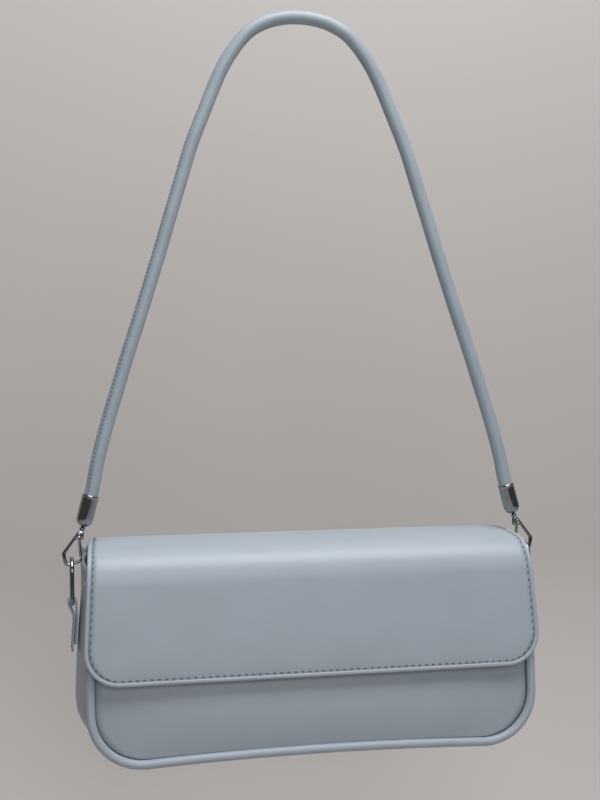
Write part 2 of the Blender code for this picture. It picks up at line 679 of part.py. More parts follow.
def build_gusset(carrier):
    """The strip that joins front and back down one side, across the floor and up the other."""
    columns = 7
    shares = np.linspace(0.0, 1.0, columns)
    clear = PIPING_RADIUS + GAP
    back = BACK_PIPING_Y - clear
    top_y = piping_front_y(FRONT_TOP_Z) + clear
    strips = []
    for share in shares:
        y_at_top = top_y + share * (back - top_y)
        x, z = u_path(PIPING_HALF, PIPING_CORNER, top_line_z(y_at_top) - GUSSET_DROP, PIPING_BOTTOM_Z)
        tangents = np.gradient(np.column_stack([x, z]), axis=0)
        tangents /= np.linalg.norm(tangents, axis=1)[:, None]
        bulge = gusset_bulge(z) * 4 * share * (1 - share)
        front = piping_front_y(z) + clear
        lifted = z + bottom_arch(x, z) - tangents[:, 0] * bulge
        strips.append(np.column_stack([x + tangents[:, 1] * bulge, front + share * (back - front), lifted]))
    grid_sheet("gusset", np.stack(strips, axis=1), PANEL_THICKNESS, LEATHER, carrier)


def rounded_ring(half_width, front, back, corner):
    """(x, y) points round a rectangle with round corners, counter-clockwise from above."""
    x, y = [], []
    corners = ((1, back - corner, 0.0), (-1, back - corner, 90.0),
               (-1, front + corner, 180.0), (1, front + corner, 270.0))
    for sign, centre_y, first in corners:
        angles = np.radians(np.linspace(first, first + 90.0, 5))
        x.append(sign * (half_width - corner) + corner * np.cos(angles))
        y.append(centre_y + corner * np.sin(angles))
    return np.concatenate(x), np.concatenate(y)


def build_lining(carrier):
    """The cloth lining with its slip pocket, and the board under its floor."""
    half = PIPING_HALF - PANEL_THICKNESS - LINING_INSET
    floor = PIPING_BOTTOM_Z + PANEL_THICKNESS + BOTTOM_ARCH + GAP + BOARD_THICKNESS + GAP
    corner = PIPING_CORNER - PANEL_THICKNESS - LINING_INSET
    top = FRONT_TOP_Z
    widths, heights = corner_rows(half, corner, 6, 6, top, floor)
    back = BACK_Y - PANEL_THICKNESS - LINING_INSET
    rings = []
    for width, height in zip(widths, heights):
        front = float(piping_front_y(height)) + PANEL_RECESS + PANEL_THICKNESS + LINING_INSET
        x, y = rounded_ring(width, front, back, LINING_CORNER)
        share = max(0.0, (height - floor - corner) / (top - floor - corner))
        z = height + share * (top_line_z(y) - LINING_DROP - top)
        rings.append(np.column_stack([x, y, z]))
    ring_sheet("lining", np.array(rings), LINING_THICKNESS, CLOTH, carrier)

    rows = np.linspace(0.0, 1.0, 7)
    across = np.linspace(-1.0, 1.0, 9)
    place = np.empty((len(rows), len(across), 3))
    wall = back - LINING_THICKNESS - GAP - POCKET_THICKNESS
    bulge = POCKET_BULGE * (1 - rows ** 2)[:, None] * (1 - across ** 4)
    place[:, :, 0] = POCKET_WIDTH / 2 * across
    place[:, :, 1] = wall - bulge
    place[:, :, 2] = (POCKET_TOP_Z - POCKET_HEIGHT * rows)[:, None]
    grid_sheet("slip_pocket", place[::-1], POCKET_THICKNESS, CLOTH, carrier)

    front = float(piping_front_y(PIPING_BOTTOM_Z)) + PANEL_THICKNESS + BOARD_MARGIN
    rear = BACK_Y - PANEL_THICKNESS - BOARD_MARGIN
    length = 2 * (PIPING_HALF - PIPING_CORNER)
    under = floor - GAP - BOARD_THICKNESS / 2
    outline = [(-length / 2, under - BOARD_THICKNESS / 2), (length / 2, under - BOARD_THICKNESS / 2),
               (length / 2, under + BOARD_THICKNESS / 2), (-length / 2, under + BOARD_THICKNESS / 2)]
    plate("base_board", outline, rear - front, BOARD, carrier, (front + rear) / 2)


def top_rows():
    """Runs along the flap's top, closer together in the fold."""
    bend_start, split, _ = FLAP[3]
    return np.concatenate([np.linspace(0.0, bend_start, 7)[:-1], np.linspace(bend_start, split - GAP / 2, 6)])


def front_rows(inset):
    """Runs and half widths down the flap's front, round its corners, that far inside its edge."""
    _, split, bend_end = FLAP[3]
    hem = FLAP[0][-1] - inset
    widths, heights = corner_rows(FLAP_HALF - inset, FLAP_CORNER_RADIUS - inset, 7, 7, -bend_end, -hem)
    fold = np.linspace(split + GAP / 2, bend_end, 6)[:-1]
    return np.concatenate([fold, -heights]), np.concatenate([np.full(len(fold), widths[0]), widths])


def build_flap(top_carrier, front_carrier):
    """The flap in two pieces that meet at the fold, each of three layers inside a raised rim."""
    depths = (0.0, FLAP_OUTER + GAP, FLAP_OUTER + FLAP_STIFFENER + 2 * GAP)
    thicknesses = (FLAP_OUTER, FLAP_STIFFENER, FLAP_LINING)
    finishes = (LEATHER, BOARD, LEATHER_INNER)
    rim_inside = 2 * RIM_RADIUS + GAP
    margins = (rim_inside, rim_inside + STIFFENER_MARGIN, rim_inside)
    for label, depth, thickness, finish, margin in zip(
            ("outer", "stiffener", "lining"), depths, thicknesses, finishes, margins):
        runs = top_rows()
        widths = np.full(len(runs), FLAP_HALF - margin)
        flap_layer(f"flap_top_{label}", runs, widths, depth, thickness, finish, top_carrier)
        runs, widths = front_rows(margin)
        flap_layer(f"flap_front_{label}", runs, widths, depth, thickness, finish, front_carrier)

    middle = FLAP_THICKNESS / 2
    side_yz = flap_place(top_rows(), middle)
    side_x = (FLAP_HALF - RIM_RADIUS) * flap_spread(top_rows())
    for label, side in SIDES:
        points = [(side * x, y, z) for x, (y, z) in zip(side_x, side_yz)]
        tube(f"flap_top_rim_{label}", points, RIM_RADIUS, LEATHER, top_carrier)
    runs, widths = front_rows(RIM_RADIUS)
    floor = np.linspace(-widths[-1], widths[-1], 5)[1:-1]
    round_runs = np.concatenate([runs, np.full(len(floor), runs[-1]), runs[::-1]])
    x = np.concatenate([-widths, floor, widths[::-1]]) * flap_spread(round_runs)
    points = [(px, y, z) for px, (y, z) in zip(x, flap_place(round_runs, middle))]
    tube("flap_front_rim", points, RIM_RADIUS, LEATHER, front_carrier)


def build_snap(bag, flap):
    """The magnetic snap: a stud under the flap, a socket on the front and its washer behind."""
    run, points, normals, _ = FLAP
    snap_run = float(np.interp(-SNAP_Z, -points[:, 1], run))
    y, z = flap_place([snap_run], FLAP_THICKNESS + GAP)[0]
    facing = np.array([np.interp(snap_run, run, normals[:, axis]) for axis in range(2)])
    tilt = math.atan2(-facing[0], facing[1])

    def seat(obj, depth):
        step = facing / np.linalg.norm(facing) * depth
        obj.location = (0.0, y - step[0], z - step[1])
        obj.rotation_euler.x = tilt

    base, edge = SNAP_BASE_HEIGHT, SNAP_EDGE
    stud = [(0.0, 0.0), (SNAP_RADIUS - edge, 0.0), (SNAP_RADIUS, -edge), (SNAP_RADIUS, -base),
            (SNAP_POST_RADIUS, -base), (SNAP_POST_RADIUS - edge, -base - SNAP_POST_HEIGHT),
            (0.0, -base - SNAP_POST_HEIGHT)]
    seat(turned("snap_stud", stud, METAL, flap), 0.0)
    socket = [(SNAP_RADIUS, 0.0), (SNAP_RADIUS, -SNAP_SOCKET_HEIGHT), (SNAP_HOLE_RADIUS, -SNAP_SOCKET_HEIGHT),
              (SNAP_HOLE_RADIUS, 0.0)]
    socket_depth = base + GAP
    seat(turned("snap_socket", socket, METAL, bag, closed=True), socket_depth)
    panel_face = (PIPING_BEHIND_FLAP + PANEL_RECESS) * abs(facing[0]) - FLAP_THICKNESS - GAP
    washer = [(0.0, 0.0), (WASHER_RADIUS, 0.0), (WASHER_RADIUS, -WASHER_HEIGHT), (0.0, -WASHER_HEIGHT)]
    seat(turned("snap_washer", washer, METAL, bag), panel_face + PANEL_THICKNESS + GAP)


def build_bag():
    """All the pieces on their joints."""
    bag = add_empty("bag_swing_axis", (0.0, 0.0, BAR_Z))
    flap_top = add_empty("flap_lift_axis", (0.0, BACK_Y, TOP_Z + RIM_PROUD), bag)
    fold_y, fold_z = flap_place([FLAP[3][1]], -FOLD_AXIS_PROUD)[0]
    flap_front = add_empty("flap_fold_axis", (0.0, fold_y, fold_z), flap_top)
    build_strap()
    for label, side in SIDES:
        build_cap(label, side)
        hook = add_empty(f"hook_swivel_axis_{label}", cap_point(side, CAP_LENGTH))
        build_post(label, side, hook)
        build_hook(label, side, hook)
        pin_x, pin_z = hook_point(side, PIN_PLACE_SHARES)
        build_gate(label, side, add_empty(f"gate_axis_{label}", (pin_x, 0.0, pin_z), hook))
        ring_axis = (side * RING_X, 0.0, RING_BOTTOM_Z)
        build_ring(label, side, add_empty(f"ring_tilt_axis_{label}", ring_axis, bag))
        build_tab(label, side, bag)
    build_panels(bag)
    build_piping(bag)
    build_gusset(bag)
    build_lining(bag)
    build_flap(flap_top, flap_front)
    build_snap(bag, flap_front)


for leftover in list(bpy.data.objects):
    bpy.data.objects.remove(leftover)
PARTS = new_collection("mini_bag")
CUTTERS = new_collection("cutters")
CUTTERS.hide_render = True
FLAP = flap_profile()
RING_X = ring_x()
HOOK_LEFT_EDGE = RING_X - HOOK_WIDTH * HOOK_BAR_SHARES[0]
CAP_MOUTH_X = HOOK_LEFT_EDGE - CAP_INSIDE_HOOK
build_bag()
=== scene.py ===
"""The looks of a small flap bag: leather skins, piping, stitches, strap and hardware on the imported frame."""

from __future__ import annotations

import itertools
import json
import logging
import math
from dataclasses import dataclass, field
from enum import Enum
from typing import Any, Sequence

import bpy
import numpy as np
from mathutils import Matrix, Vector

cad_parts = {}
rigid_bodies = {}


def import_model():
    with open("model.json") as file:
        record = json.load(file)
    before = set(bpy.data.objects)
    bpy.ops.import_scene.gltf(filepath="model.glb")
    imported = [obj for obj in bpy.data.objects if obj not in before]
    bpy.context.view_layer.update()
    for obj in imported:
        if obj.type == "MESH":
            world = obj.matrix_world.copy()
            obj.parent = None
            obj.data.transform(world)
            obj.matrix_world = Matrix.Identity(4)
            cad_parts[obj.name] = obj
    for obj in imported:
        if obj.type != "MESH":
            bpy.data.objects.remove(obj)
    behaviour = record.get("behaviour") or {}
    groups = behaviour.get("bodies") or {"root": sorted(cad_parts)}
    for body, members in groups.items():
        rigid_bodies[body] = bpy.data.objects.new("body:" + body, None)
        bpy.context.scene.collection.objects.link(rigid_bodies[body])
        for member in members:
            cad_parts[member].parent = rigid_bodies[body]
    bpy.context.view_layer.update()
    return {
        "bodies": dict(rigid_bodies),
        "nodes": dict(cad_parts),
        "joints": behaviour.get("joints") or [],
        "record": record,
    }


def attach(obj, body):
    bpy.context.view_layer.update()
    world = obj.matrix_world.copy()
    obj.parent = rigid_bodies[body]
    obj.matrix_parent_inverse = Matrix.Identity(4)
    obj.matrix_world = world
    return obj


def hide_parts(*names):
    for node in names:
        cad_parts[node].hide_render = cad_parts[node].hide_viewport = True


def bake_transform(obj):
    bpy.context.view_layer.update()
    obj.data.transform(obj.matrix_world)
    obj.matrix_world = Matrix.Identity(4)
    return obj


LOG = logging.getLogger("flap_bag")

Colour = tuple[float, float, float]
Range = tuple[float, float]
Array = np.ndarray
LONGEST_CURVE = 0.45


class Side(Enum):
    """The two ends of the bag, with the sign of their X."""

    LEFT = -1
    RIGHT = 1

    @property
    def label(self) -> str:
        """The side's word in node names."""
        return self.name.lower()


class Wire:
    """An output socket that takes part in Python expressions by adding Math nodes."""

    def __init__(self, shade: "Shade", socket: Any) -> None:
        """Keep the material's builder and the socket.

        Args:
            shade: The builder whose tree the socket is in.
            socket: The output socket.
        """
        self.shade = shade
        self.socket = socket

    def _math(self, operation: str, *values: Any) -> "Wire":
        """A Math node on this socket and the values."""
        sockets = dict(enumerate(values))
        return self.shade.node("ShaderNodeMath", {"operation": operation}, sockets)

    def __add__(self, other: Any) -> "Wire":
        """Sum."""
        return self._math("ADD", self, other)

    __radd__ = __add__

    def __mul__(self, other: Any) -> "Wire":
        """Product."""
        return self._math("MULTIPLY", self, other)

    __rmul__ = __mul__

    def __sub__(self, other: Any) -> "Wire":
        """Difference."""
        return self._math("SUBTRACT", self, other)

    def __rsub__(self, other: Any) -> "Wire":
        """Difference from a number."""
        return self._math("SUBTRACT", other, self)

    def __truediv__(self, other: Any) -> "Wire":
        """Quotient."""
        return self._math("DIVIDE", self, other)

    def fraction(self) -> "Wire":
        """What is left above the next whole number down."""
        return self._math("FRACT", self)

    def size(self) -> "Wire":
        """Absolute value."""
        return self._math("ABSOLUTE", self)

    def step(self, low: float, high: float) -> "Wire":
        """A smooth ramp from 0 at low to 1 at high."""
        sockets = {"Value": self, "From Min": low, "From Max": high}
        return self.shade.node("ShaderNodeMapRange", {"interpolation_type": "SMOOTHSTEP"}, sockets)

    def sine(self) -> "Wire":
        """Sine of an angle in radians."""
        return self._math("SINE", self)

    def root(self) -> "Wire":
        """Square root."""
        return self._math("POWER", self, 0.5)


class Shade:
    """A material under construction: its tree, its shader and a way to add nodes."""

    def __init__(self, name: str) -> None:
        """Start a material with one Principled shader.

        Args:
            name: The material's name.
        """
        self.material = bpy.data.materials.new(name)
        self.material.use_nodes = True
        self.tree = self.material.node_tree
        self.shader = self.tree.nodes["Principled BSDF"]

    def node(self, kind: str, settings: dict[str, Any], sockets: dict[Any, Any], output: Any = 0) -> Wire:
        """Add a node, set it up and give one of its outputs.

        Args:
            kind: The node's type name.
            settings: Properties that are set first.
            sockets: Values or wires by the input's name or index.
            output: The name or index of the output to give.

        Returns:
            The output as a wire.
        """
        added = self.tree.nodes.new(kind)
        for key, value in settings.items():
            setattr(added, key, value)
        for key, value in sockets.items():
            self.join(added.inputs[key], value)
        return Wire(self, added.outputs[output])

    def join(self, target: Any, value: Any) -> None:
        """Link a wire to an input, or set the input's value.

        Args:
            target: The input.
            value: A wire or a value.
        """
        if isinstance(value, Wire):
            self.tree.links.new(value.socket, target)
        else:
            target.default_value = value

    def set(self, **sockets: Any) -> None:
        """Set the shader's sockets, named with underscores for spaces."""
        for key, value in sockets.items():
            self.join(self.shader.inputs[key.replace("_", " ")], value)

    def place(self) -> Wire:
        """Object coordinates."""
        return self.node("ShaderNodeTexCoord", {}, {}, "Object")

    def attribute(self, name: str) -> Wire:
        """A number that the piece's mesh carries at each of its points."""
        return self.node("ShaderNodeAttribute", {"attribute_name": name}, {}, "Fac")

    def noise(self, scale: float, detail: float) -> Wire:
        """Soft noise about 0.5 over the piece, with so many waves to a metre."""
        sockets = {"Vector": self.place(), "Scale": scale, "Detail": detail}
        return self.node("ShaderNodeTexNoise", {}, sockets, "Fac")

    def cells(self, scale: float) -> Wire:
        """Distance to the nearest of scattered points, of which so many lie on a metre."""
        sockets = {"Vector": self.place(), "Scale": scale}
        return self.node("ShaderNodeTexVoronoi", {}, sockets, "Distance")

    def blend(self, factor: Any, first: Any, second: Any) -> Wire:
        """Mix two colours."""
        sockets = {0: factor, 6: first, 7: second}
        return self.node("ShaderNodeMix", {"data_type": "RGBA"}, sockets, 2)

    def tone(self, noise: Wire, colour: Colour, levels: Range, steps: Range = (0.3, 0.7)) -> Wire:
        """A colour that goes from one level to another while a noise goes from one step to another."""
        return self.blend(noise.step(*steps), solid(colour, levels[0]), solid(colour, levels[1]))

    def about(self, middle: float, noise: Wire, spread: float) -> Wire:
        """A number that a noise spreads about its middle."""
        return middle + (noise - 0.5) * spread

    def bump(self, height: Wire, depth: float, strength: float = 1.0, under: Wire | None = None) -> Wire:
        """A normal from a height of 0 to 1 that stands for a depth in metres.

        Args:
            height: The height.
            depth: What a height of 1 stands for, in metres.
            strength: How much of it is shown.
            under: A normal that it lies on.

        Returns:
            The normal.
        """
        sockets = {"Height": height, "Distance": depth, "Strength": strength}
        if under:
            sockets["Normal"] = under
        return self.node("ShaderNodeBump", {}, sockets)


def solid(colour: Colour, level: float = 1.0) -> tuple[float, float, float, float]:
    """A colour with its alpha, made lighter or darker by a level."""
    return (colour[0] * level, colour[1] * level, colour[2] * level, 1.0)


class Finish:
    """A material that a subclass describes by filling in its shader."""

    def make(self, name: str) -> bpy.types.Material:
        """Build the material.

        Args:
            name: The material's name.

        Returns:
            The material, with its shader set.
        """
        shade = Shade(name)
        self.fill(shade)
        return shade.material

    def fill(self, shade: Shade) -> None:
        """Set the shader's sockets."""
        raise NotImplementedError


@dataclass(frozen=True)
class Leather(Finish):
    """Smooth coated leather: fine pores, faint mottling and soft broad waves."""

    colour: Colour
    roughness: float = 0.43
    rough_spread: float = 0.12
    mottle_scale: float = 35.0
    mottle_levels: Range = (0.96, 1.04)
    fine_scale: float = 900.0
    fine_steps: Range = (0.35, 0.65)
    pore_scale: float = 1300.0
    pore_depth: float = 0.00004
    pore_strength: float = 0.5
    wave_scale: float = 24.0
    wave_depth: float = 0.0005
    wave_strength: float = 0.6

    def fill(self, shade: Shade) -> None:
        """Height is cell noise of 0.8 mm pores over 40 mm waves.

        Args:
            shade: The material's builder.
        """
        mottle = shade.noise(self.mottle_scale, 4.0)
        fine = shade.noise(self.fine_scale, 2.0)
        tone = shade.tone(mottle, self.colour, self.mottle_levels)
        shade.set(Base_Color=shade.blend(fine.step(*self.fine_steps), tone, solid(self.colour)))
        shade.set(Roughness=shade.about(self.roughness, mottle, self.rough_spread))
        shade.set(Specular_IOR_Level=0.5, Sheen_Weight=0.0, Coat_Weight=0.0)
        waves = shade.bump(shade.noise(self.wave_scale, 1.5), self.wave_depth, self.wave_strength)
        pores = shade.bump(shade.cells(self.pore_scale), self.pore_depth, self.pore_strength, waves)
        shade.set(Normal=pores)


@dataclass(frozen=True)
class SeamedLeather(Finish):
    """The strap's leather, with its seam drawn in from the run and the distance off the seam, and painted
    shade in its needle holes and groove.
    """

    leather: Leather
    pitch: float = 0.0024
    row: float = 0.0009
    hole: float = 0.00038
    hole_edge: Range = (0.6, 1.4)
    groove: float = 0.0005
    groove_share: float = 0.45
    mark_depth: float = 0.0003
    mark_strength: float = 0.8
    # how dark the painted shade in the needle holes and the groove is
    mark_level: float = 0.25
    mottle_scale: float = 60.0
    mottle_levels: Range = (0.95, 1.04)

    def fill(self, shade: Shade) -> None:
        """A groove lies at the seam and holes repeat along a row each side of it; both are darkened by painted
        shade and sunk by a bump.

        Args:
            shade: The material's builder.
        """
        leather = self.leather
        run = shade.attribute("run")
        off = shade.attribute("off_seam")
        along = ((run / self.pitch).fraction() - 0.5).size() * self.pitch
        across = (off - self.row).size()
        away = (along * along + across * across).root()
        hole = 1.0 - away.step(*(self.hole * share for share in self.hole_edge))
        groove = 1.0 - off.step(0.0, self.groove)
        holes_and_groove = hole + groove * self.groove_share
        mottle = shade.noise(self.mottle_scale, 4.0)
        tone = shade.tone(mottle, leather.colour, self.mottle_levels)
        # painted shade: the needle holes and the groove are blended towards a quarter of the leather's colour
        painted_hole_shade = solid(leather.colour, self.mark_level)
        shade.set(Base_Color=shade.blend(holes_and_groove * self.mark_strength, tone, painted_hole_shade))
        shade.set(Roughness=shade.about(leather.roughness, mottle, leather.rough_spread))
        pores = shade.bump(shade.cells(leather.pore_scale), leather.pore_depth, leather.pore_strength)
        shade.set(Normal=shade.bump(1.0 - holes_and_groove, self.mark_depth, self.mark_strength, pores))


@dataclass(frozen=True)
class Plated(Finish):
    """Polished plated metal with faint cloudiness and fine rubbed marks."""

    colour: Colour = (0.34, 0.34, 0.35)
    roughness: float = 0.08
    rough_spread: float = 0.10
    cloud_scale: float = 260.0
    cloud_levels: Range = (0.93, 1.05)
    rub_scale: float = 1500.0
    rub_depth: float = 0.00002
    rub_strength: float = 0.25

    def fill(self, shade: Shade) -> None:
        """Roughness and a shallow bump follow two sizes of noise.

        Args:
            shade: The material's builder.
        """
        cloud = shade.noise(self.cloud_scale, 3.0)
        shade.set(Base_Color=shade.tone(cloud, self.colour, self.cloud_levels))
        shade.set(Metallic=1.0, Roughness=shade.about(self.roughness, cloud, self.rough_spread))
        shade.set(Normal=shade.bump(shade.noise(self.rub_scale, 2.0), self.rub_depth, self.rub_strength))


@dataclass(frozen=True)
class Woven(Finish):
    """Plain woven cloth: threads over and under each other at an even pitch."""

    colour: Colour
    pitch: float = 0.0006
    depth: float = 0.0001
    strength: float = 0.5
    roughness: float = 0.85
    rough_spread: float = 0.1
    slub_scale: float = 90.0
    slub_levels: Range = (0.93, 1.05)
    weave_level: float = 0.75
    weave_share: float = 0.25

    def fill(self, shade: Shade) -> None:
        """Height is the product of two waves, one along X + Y and one along Y + Z.

        Args:
            shade: The material's builder.
        """
        split = shade.node("ShaderNodeSeparateXYZ", {}, {0: shade.place()}).socket.node
        x, y, z = (Wire(shade, output) for output in split.outputs)
        turns = 2 * math.pi / self.pitch
        weave = ((x + y) * turns).sine() * ((z + y) * turns).sine() * 0.5 + 0.5
        slub = shade.noise(self.slub_scale, 3.0)
        tone = shade.tone(slub, self.colour, self.slub_levels)
        shaded = shade.blend(weave * self.weave_share, tone, solid(self.colour, self.weave_level))
        shade.set(Base_Color=shaded, Roughness=shade.about(self.roughness, slub, self.rough_spread))
        shade.set(Normal=shade.bump(weave, self.depth, self.strength))


@dataclass(frozen=True)
class Speckled(Finish):
    """A matt material whose tone, roughness and height follow one noise: thread, board or raw cord."""

    colour: Colour
    scale: float
    detail: float
    levels: Range
    steps: Range
    roughness: float
    rough_spread: float
    depth: float
    strength: float

    def fill(self, shade: Shade) -> None:
        """Tone, roughness and height follow the same noise.

        Args:
            shade: The material's builder.
        """
        speckle = shade.noise(self.scale, self.detail)
        shade.set(Base_Color=shade.tone(speckle, self.colour, self.levels, self.steps))
        shade.set(Roughness=shade.about(self.roughness, speckle, self.rough_spread))
        shade.set(Normal=shade.bump(speckle, self.depth, self.strength))


FIBRES = {"scale": 1200.0, "detail": 4.0, "levels": (0.8, 1.15), "steps": (0.3, 0.7),
          "roughness": 0.85, "rough_spread": 0.1, "depth": 0.0001, "strength": 0.4}
TWIST = {"scale": 4000.0, "detail": 1.0, "levels": (0.7, 1.15), "steps": (0.35, 0.65),
         "roughness": 0.6, "rough_spread": 0.2, "depth": 0.00005, "strength": 0.5}
SKIN = Leather((0.345, 0.395, 0.452))
INNER_SKIN = Leather((0.310, 0.355, 0.405), roughness=0.55)
# The bag's leather about 8% darker: painted shade for the strap, which the light from above reaches less.
SHADED_STRAP_SKIN = SeamedLeather(Leather((0.315, 0.365, 0.420), roughness=0.45))
METAL = Plated()
CLOTH = Woven((0.33, 0.37, 0.42))
# The thread's own blue-grey, darkened by painted shade of the shadowed needle holes round each stitch.
THREAD_WITH_HOLE_SHADE = Speckled((0.075, 0.090, 0.110), **TWIST)
CORD = Speckled((0.55, 0.53, 0.50), **FIBRES)
BOARD = Speckled((0.22, 0.20, 0.18), **FIBRES)


def settle(piece: bpy.types.Object, body: str, slot: str, *nodes: str) -> bpy.types.Object:
    """Let a piece ride on a body and stand for CAD nodes.

    Args:
        piece: The piece.
        body: The body that it moves with.
        slot: Not used.
        nodes: The CAD nodes that it stands for.

    Returns:
        The piece.
    """
    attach(piece, body)
    if nodes:
        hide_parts(*nodes)
    return piece


@dataclass
class Shell:
    """Points and faces of a mesh in the making, with numbers kept at its points."""

    points: Array
    faces: list[tuple[int, ...]]
    marks: dict[str, Array] = field(default_factory=dict)

    def __add__(self, other: "Shell") -> "Shell":
        """Both shells as one, with the marks that they share.

        Args:
            other: The other shell.

        Returns:
            A new shell.
        """
        shift = len(self.points)
        faces = self.faces + [tuple(index + shift for index in face) for face in other.faces]
        shared = [key for key in self.marks if key in other.marks]
        marks = {key: np.concatenate([self.marks[key], other.marks[key]]) for key in shared}
        return Shell(np.vstack([self.points, other.points]), faces, marks)

    def outward(self) -> "Shell":
        """The shell with its faces turned so that its volume is positive.

        Returns:
            The shell itself.
        """
        volume = 0.0
        for face in self.faces:
            corners = self.points[list(face)]
            areas = np.cross(corners[1:-1] - corners[0], corners[2:] - corners[0])
            volume += float(np.sum(areas @ corners[0]))
        if volume < 0:
            self.faces = [face[::-1] for face in self.faces]
        return self

    def turned(self, matrix: Matrix) -> "Shell":
        """The shell carried by a matrix.

        Args:
            matrix: Where it is carried.

        Returns:
            The shell itself.
        """
        carried = np.asarray(matrix)
        self.points = self.points @ carried[:3, :3].T + carried[:3, 3]
        return self

    def build(self, name: str, material: bpy.types.Material) -> bpy.types.Object:
        """Make the mesh object at the origin, shaded smooth.

        Args:
            name: The piece's name.
            material: Its finish.

        Returns:
            The linked object.
        """
        data = bpy.data.meshes.new(name)
        data.from_pydata(self.points.tolist(), [], self.faces)
        for key, values in self.marks.items():
            attribute = data.attributes.new(key, "FLOAT", "POINT")
            attribute.data.foreach_set("value", np.asarray(values, dtype=np.float32))
        data.polygons.foreach_set("use_smooth", [True] * len(data.polygons))
        data.materials.append(material)
        data.update()
        made = bpy.data.objects.new(name, data)
        bpy.context.scene.collection.objects.link(made)
        return made

    def piece(self, name: str, material: bpy.types.Material, body: str, slot: str,
              *nodes: str) -> bpy.types.Object:
        """Make the mesh object, let it ride on a body and stand for CAD nodes."""
        return settle(self.build(name, material), body, slot, *nodes)


def grid(points: Array, around: bool = False, along: bool = False) -> Shell:
    """A surface through an array of points.

    Args:
        points: Rows by columns by three numbers.
        around: Whether the last column meets the first.
        along: Whether the last row meets the first.

    Returns:
        The surface, open where it doesn't meet itself.
    """
    rows, columns = points.shape[:2]
    low, left = np.indices((rows - (not along), columns - (not around)))
    high, right = (low + 1) % rows, (left + 1) % columns
    corners = ((low, left), (low, right), (high, right), (high, left))
    quads = np.stack([row * columns + column for row, column in corners], axis=-1)
    return Shell(points.reshape(-1, 3), [tuple(quad) for quad in quads.reshape(-1, 4).tolist()])


def unit(vectors: Array) -> Array:
    """The vectors at length one."""
    return vectors / np.linalg.norm(vectors, axis=-1, keepdims=True)


def sweep(path: Array, profile: Array, up: Array, closed: bool = False) -> Shell:
    """A closed profile carried along a path, upright to a direction at each point.

    Args:
        path: Points along the way.
        profile: (side, lift) points, or one such set for each point of the path.
        up: The direction of lift, one for all points or one for each.
        closed: Whether the path ends where it starts.

    Returns:
        A closed tube, its ends capped when the path is open.
    """
    if closed:
        tangents = unit(np.roll(path, -1, 0) - np.roll(path, 1, 0))
    else:
        tangents = unit(np.gradient(path, axis=0))
    up = np.broadcast_to(np.asarray(up, dtype=float), path.shape)
    side = unit(np.cross(tangents, up))
    lift = np.cross(side, tangents)
    profile = np.broadcast_to(profile, (len(path), *np.shape(profile)[-2:]))
    points = path[:, None] + profile[..., :1] * side[:, None] + profile[..., 1:] * lift[:, None]
    shell = grid(points, around=True, along=closed)
    if not closed:
        columns = profile.shape[1]
        last = (len(path) - 1) * columns
        shell.faces += [tuple(range(columns))[::-1], tuple(range(last, last + columns))]
    return shell.outward()


def circle(radius: float, count: int) -> Array:
    """(side, lift) points on a circle."""
    angles = np.linspace(0.0, 2 * math.pi, count, endpoint=False)
    return radius * np.column_stack([np.cos(angles), np.sin(angles)])


def superellipse(radius: float, rise: float, count: int, power: float) -> Array:
    """(side, lift) points of a rounded oblong: both coordinates go with a power of sine and cosine.

    Args:
        radius: Half its size to the side.
        rise: Half its height.
        count: How many points it has.
        power: 2 for an ellipse, more for a squarer shape.

    Returns:
        The points in order.
    """
    angles = np.linspace(0.0, 2 * math.pi, count, endpoint=False)
    shape = [np.sign(value) * np.abs(value) ** (2 / power) for value in (np.cos(angles), np.sin(angles))]
    return np.column_stack([radius * shape[0], rise * shape[1]])


def lathe(profile: Sequence[tuple[float, float]], steps: int = 64) -> Shell:
    """A profile turned about Z. Points on the axis become one pole.

    Args:
        profile: (radius, height) points. A profile that starts and ends off the axis closes on itself.
        steps: How many times the profile is repeated in a turn.

    Returns:
        A closed solid of revolution.
    """
    angles = np.linspace(0.0, 2 * math.pi, steps, endpoint=False)
    rows = np.array(profile, dtype=float)
    poled = [rows[0, 0] == 0.0, rows[-1, 0] == 0.0]
    rings = rows[int(poled[0]):len(rows) - int(poled[1])]
    points = np.stack([np.outer(rings[:, 0], np.cos(angles)), np.outer(rings[:, 0], np.sin(angles)),
                       np.repeat(rings[:, 1:], steps, axis=1)], axis=-1)
    shell = grid(points, around=True, along=not any(poled))
    ends = ((rows[0, 1], 0), (rows[-1, 1], (len(rings) - 1) * steps))
    for (height, first), pole in zip(ends, poled):
        if pole:
            tip = len(shell.points)
            shell.points = np.vstack([shell.points, [[0.0, 0.0, height]]])
            order = 1 if first else -1
            shell.faces += [(first + i, first + (i + 1) % steps, tip)[::order] for i in range(steps)]
    return shell.outward()


def slab(outer: Array, inner: Array, edge: float = 0.0) -> Shell:
    """A sheet with thickness between two surfaces with the same rows and columns.

    Args:
        outer: Points of the one face, rows by columns.
        inner: Points of the other face.
        edge: How far the middle of the rim stands out, which rounds it.

    Returns:
        A closed sheet.
    """
    shell = grid(outer) + grid(inner)
    rows, columns = outer.shape[:2]
    count = rows * columns
    number = np.arange(count).reshape(rows, columns)
    inside = np.clip(np.indices((rows, columns)), 1, np.array([[[rows - 2]], [[columns - 2]]]))
    ring = np.concatenate([number[0], number[1:, -1], number[-1, -2::-1], number[-2:0:-1, 0]])
    within = number[inside[0], inside[1]].ravel()[ring]
    middle = (shell.points[ring] + shell.points[ring + count]) / 2
    away = unit(shell.points[ring] - shell.points[within])
    first = len(shell.points)
    shell.points = np.vstack([shell.points, middle + away * edge])
    half = (rows - 1) * (columns - 1)
    shell.faces[half:] = [face[::-1] for face in shell.faces[half:]]
    for i, here in enumerate(ring.tolist()):
        j = (i + 1) % len(ring)
        following = int(ring[j])
        shell.faces.append((following, here, first + i, first + j))
        shell.faces.append((first + j, first + i, here + count, following + count))
    return shell.outward()


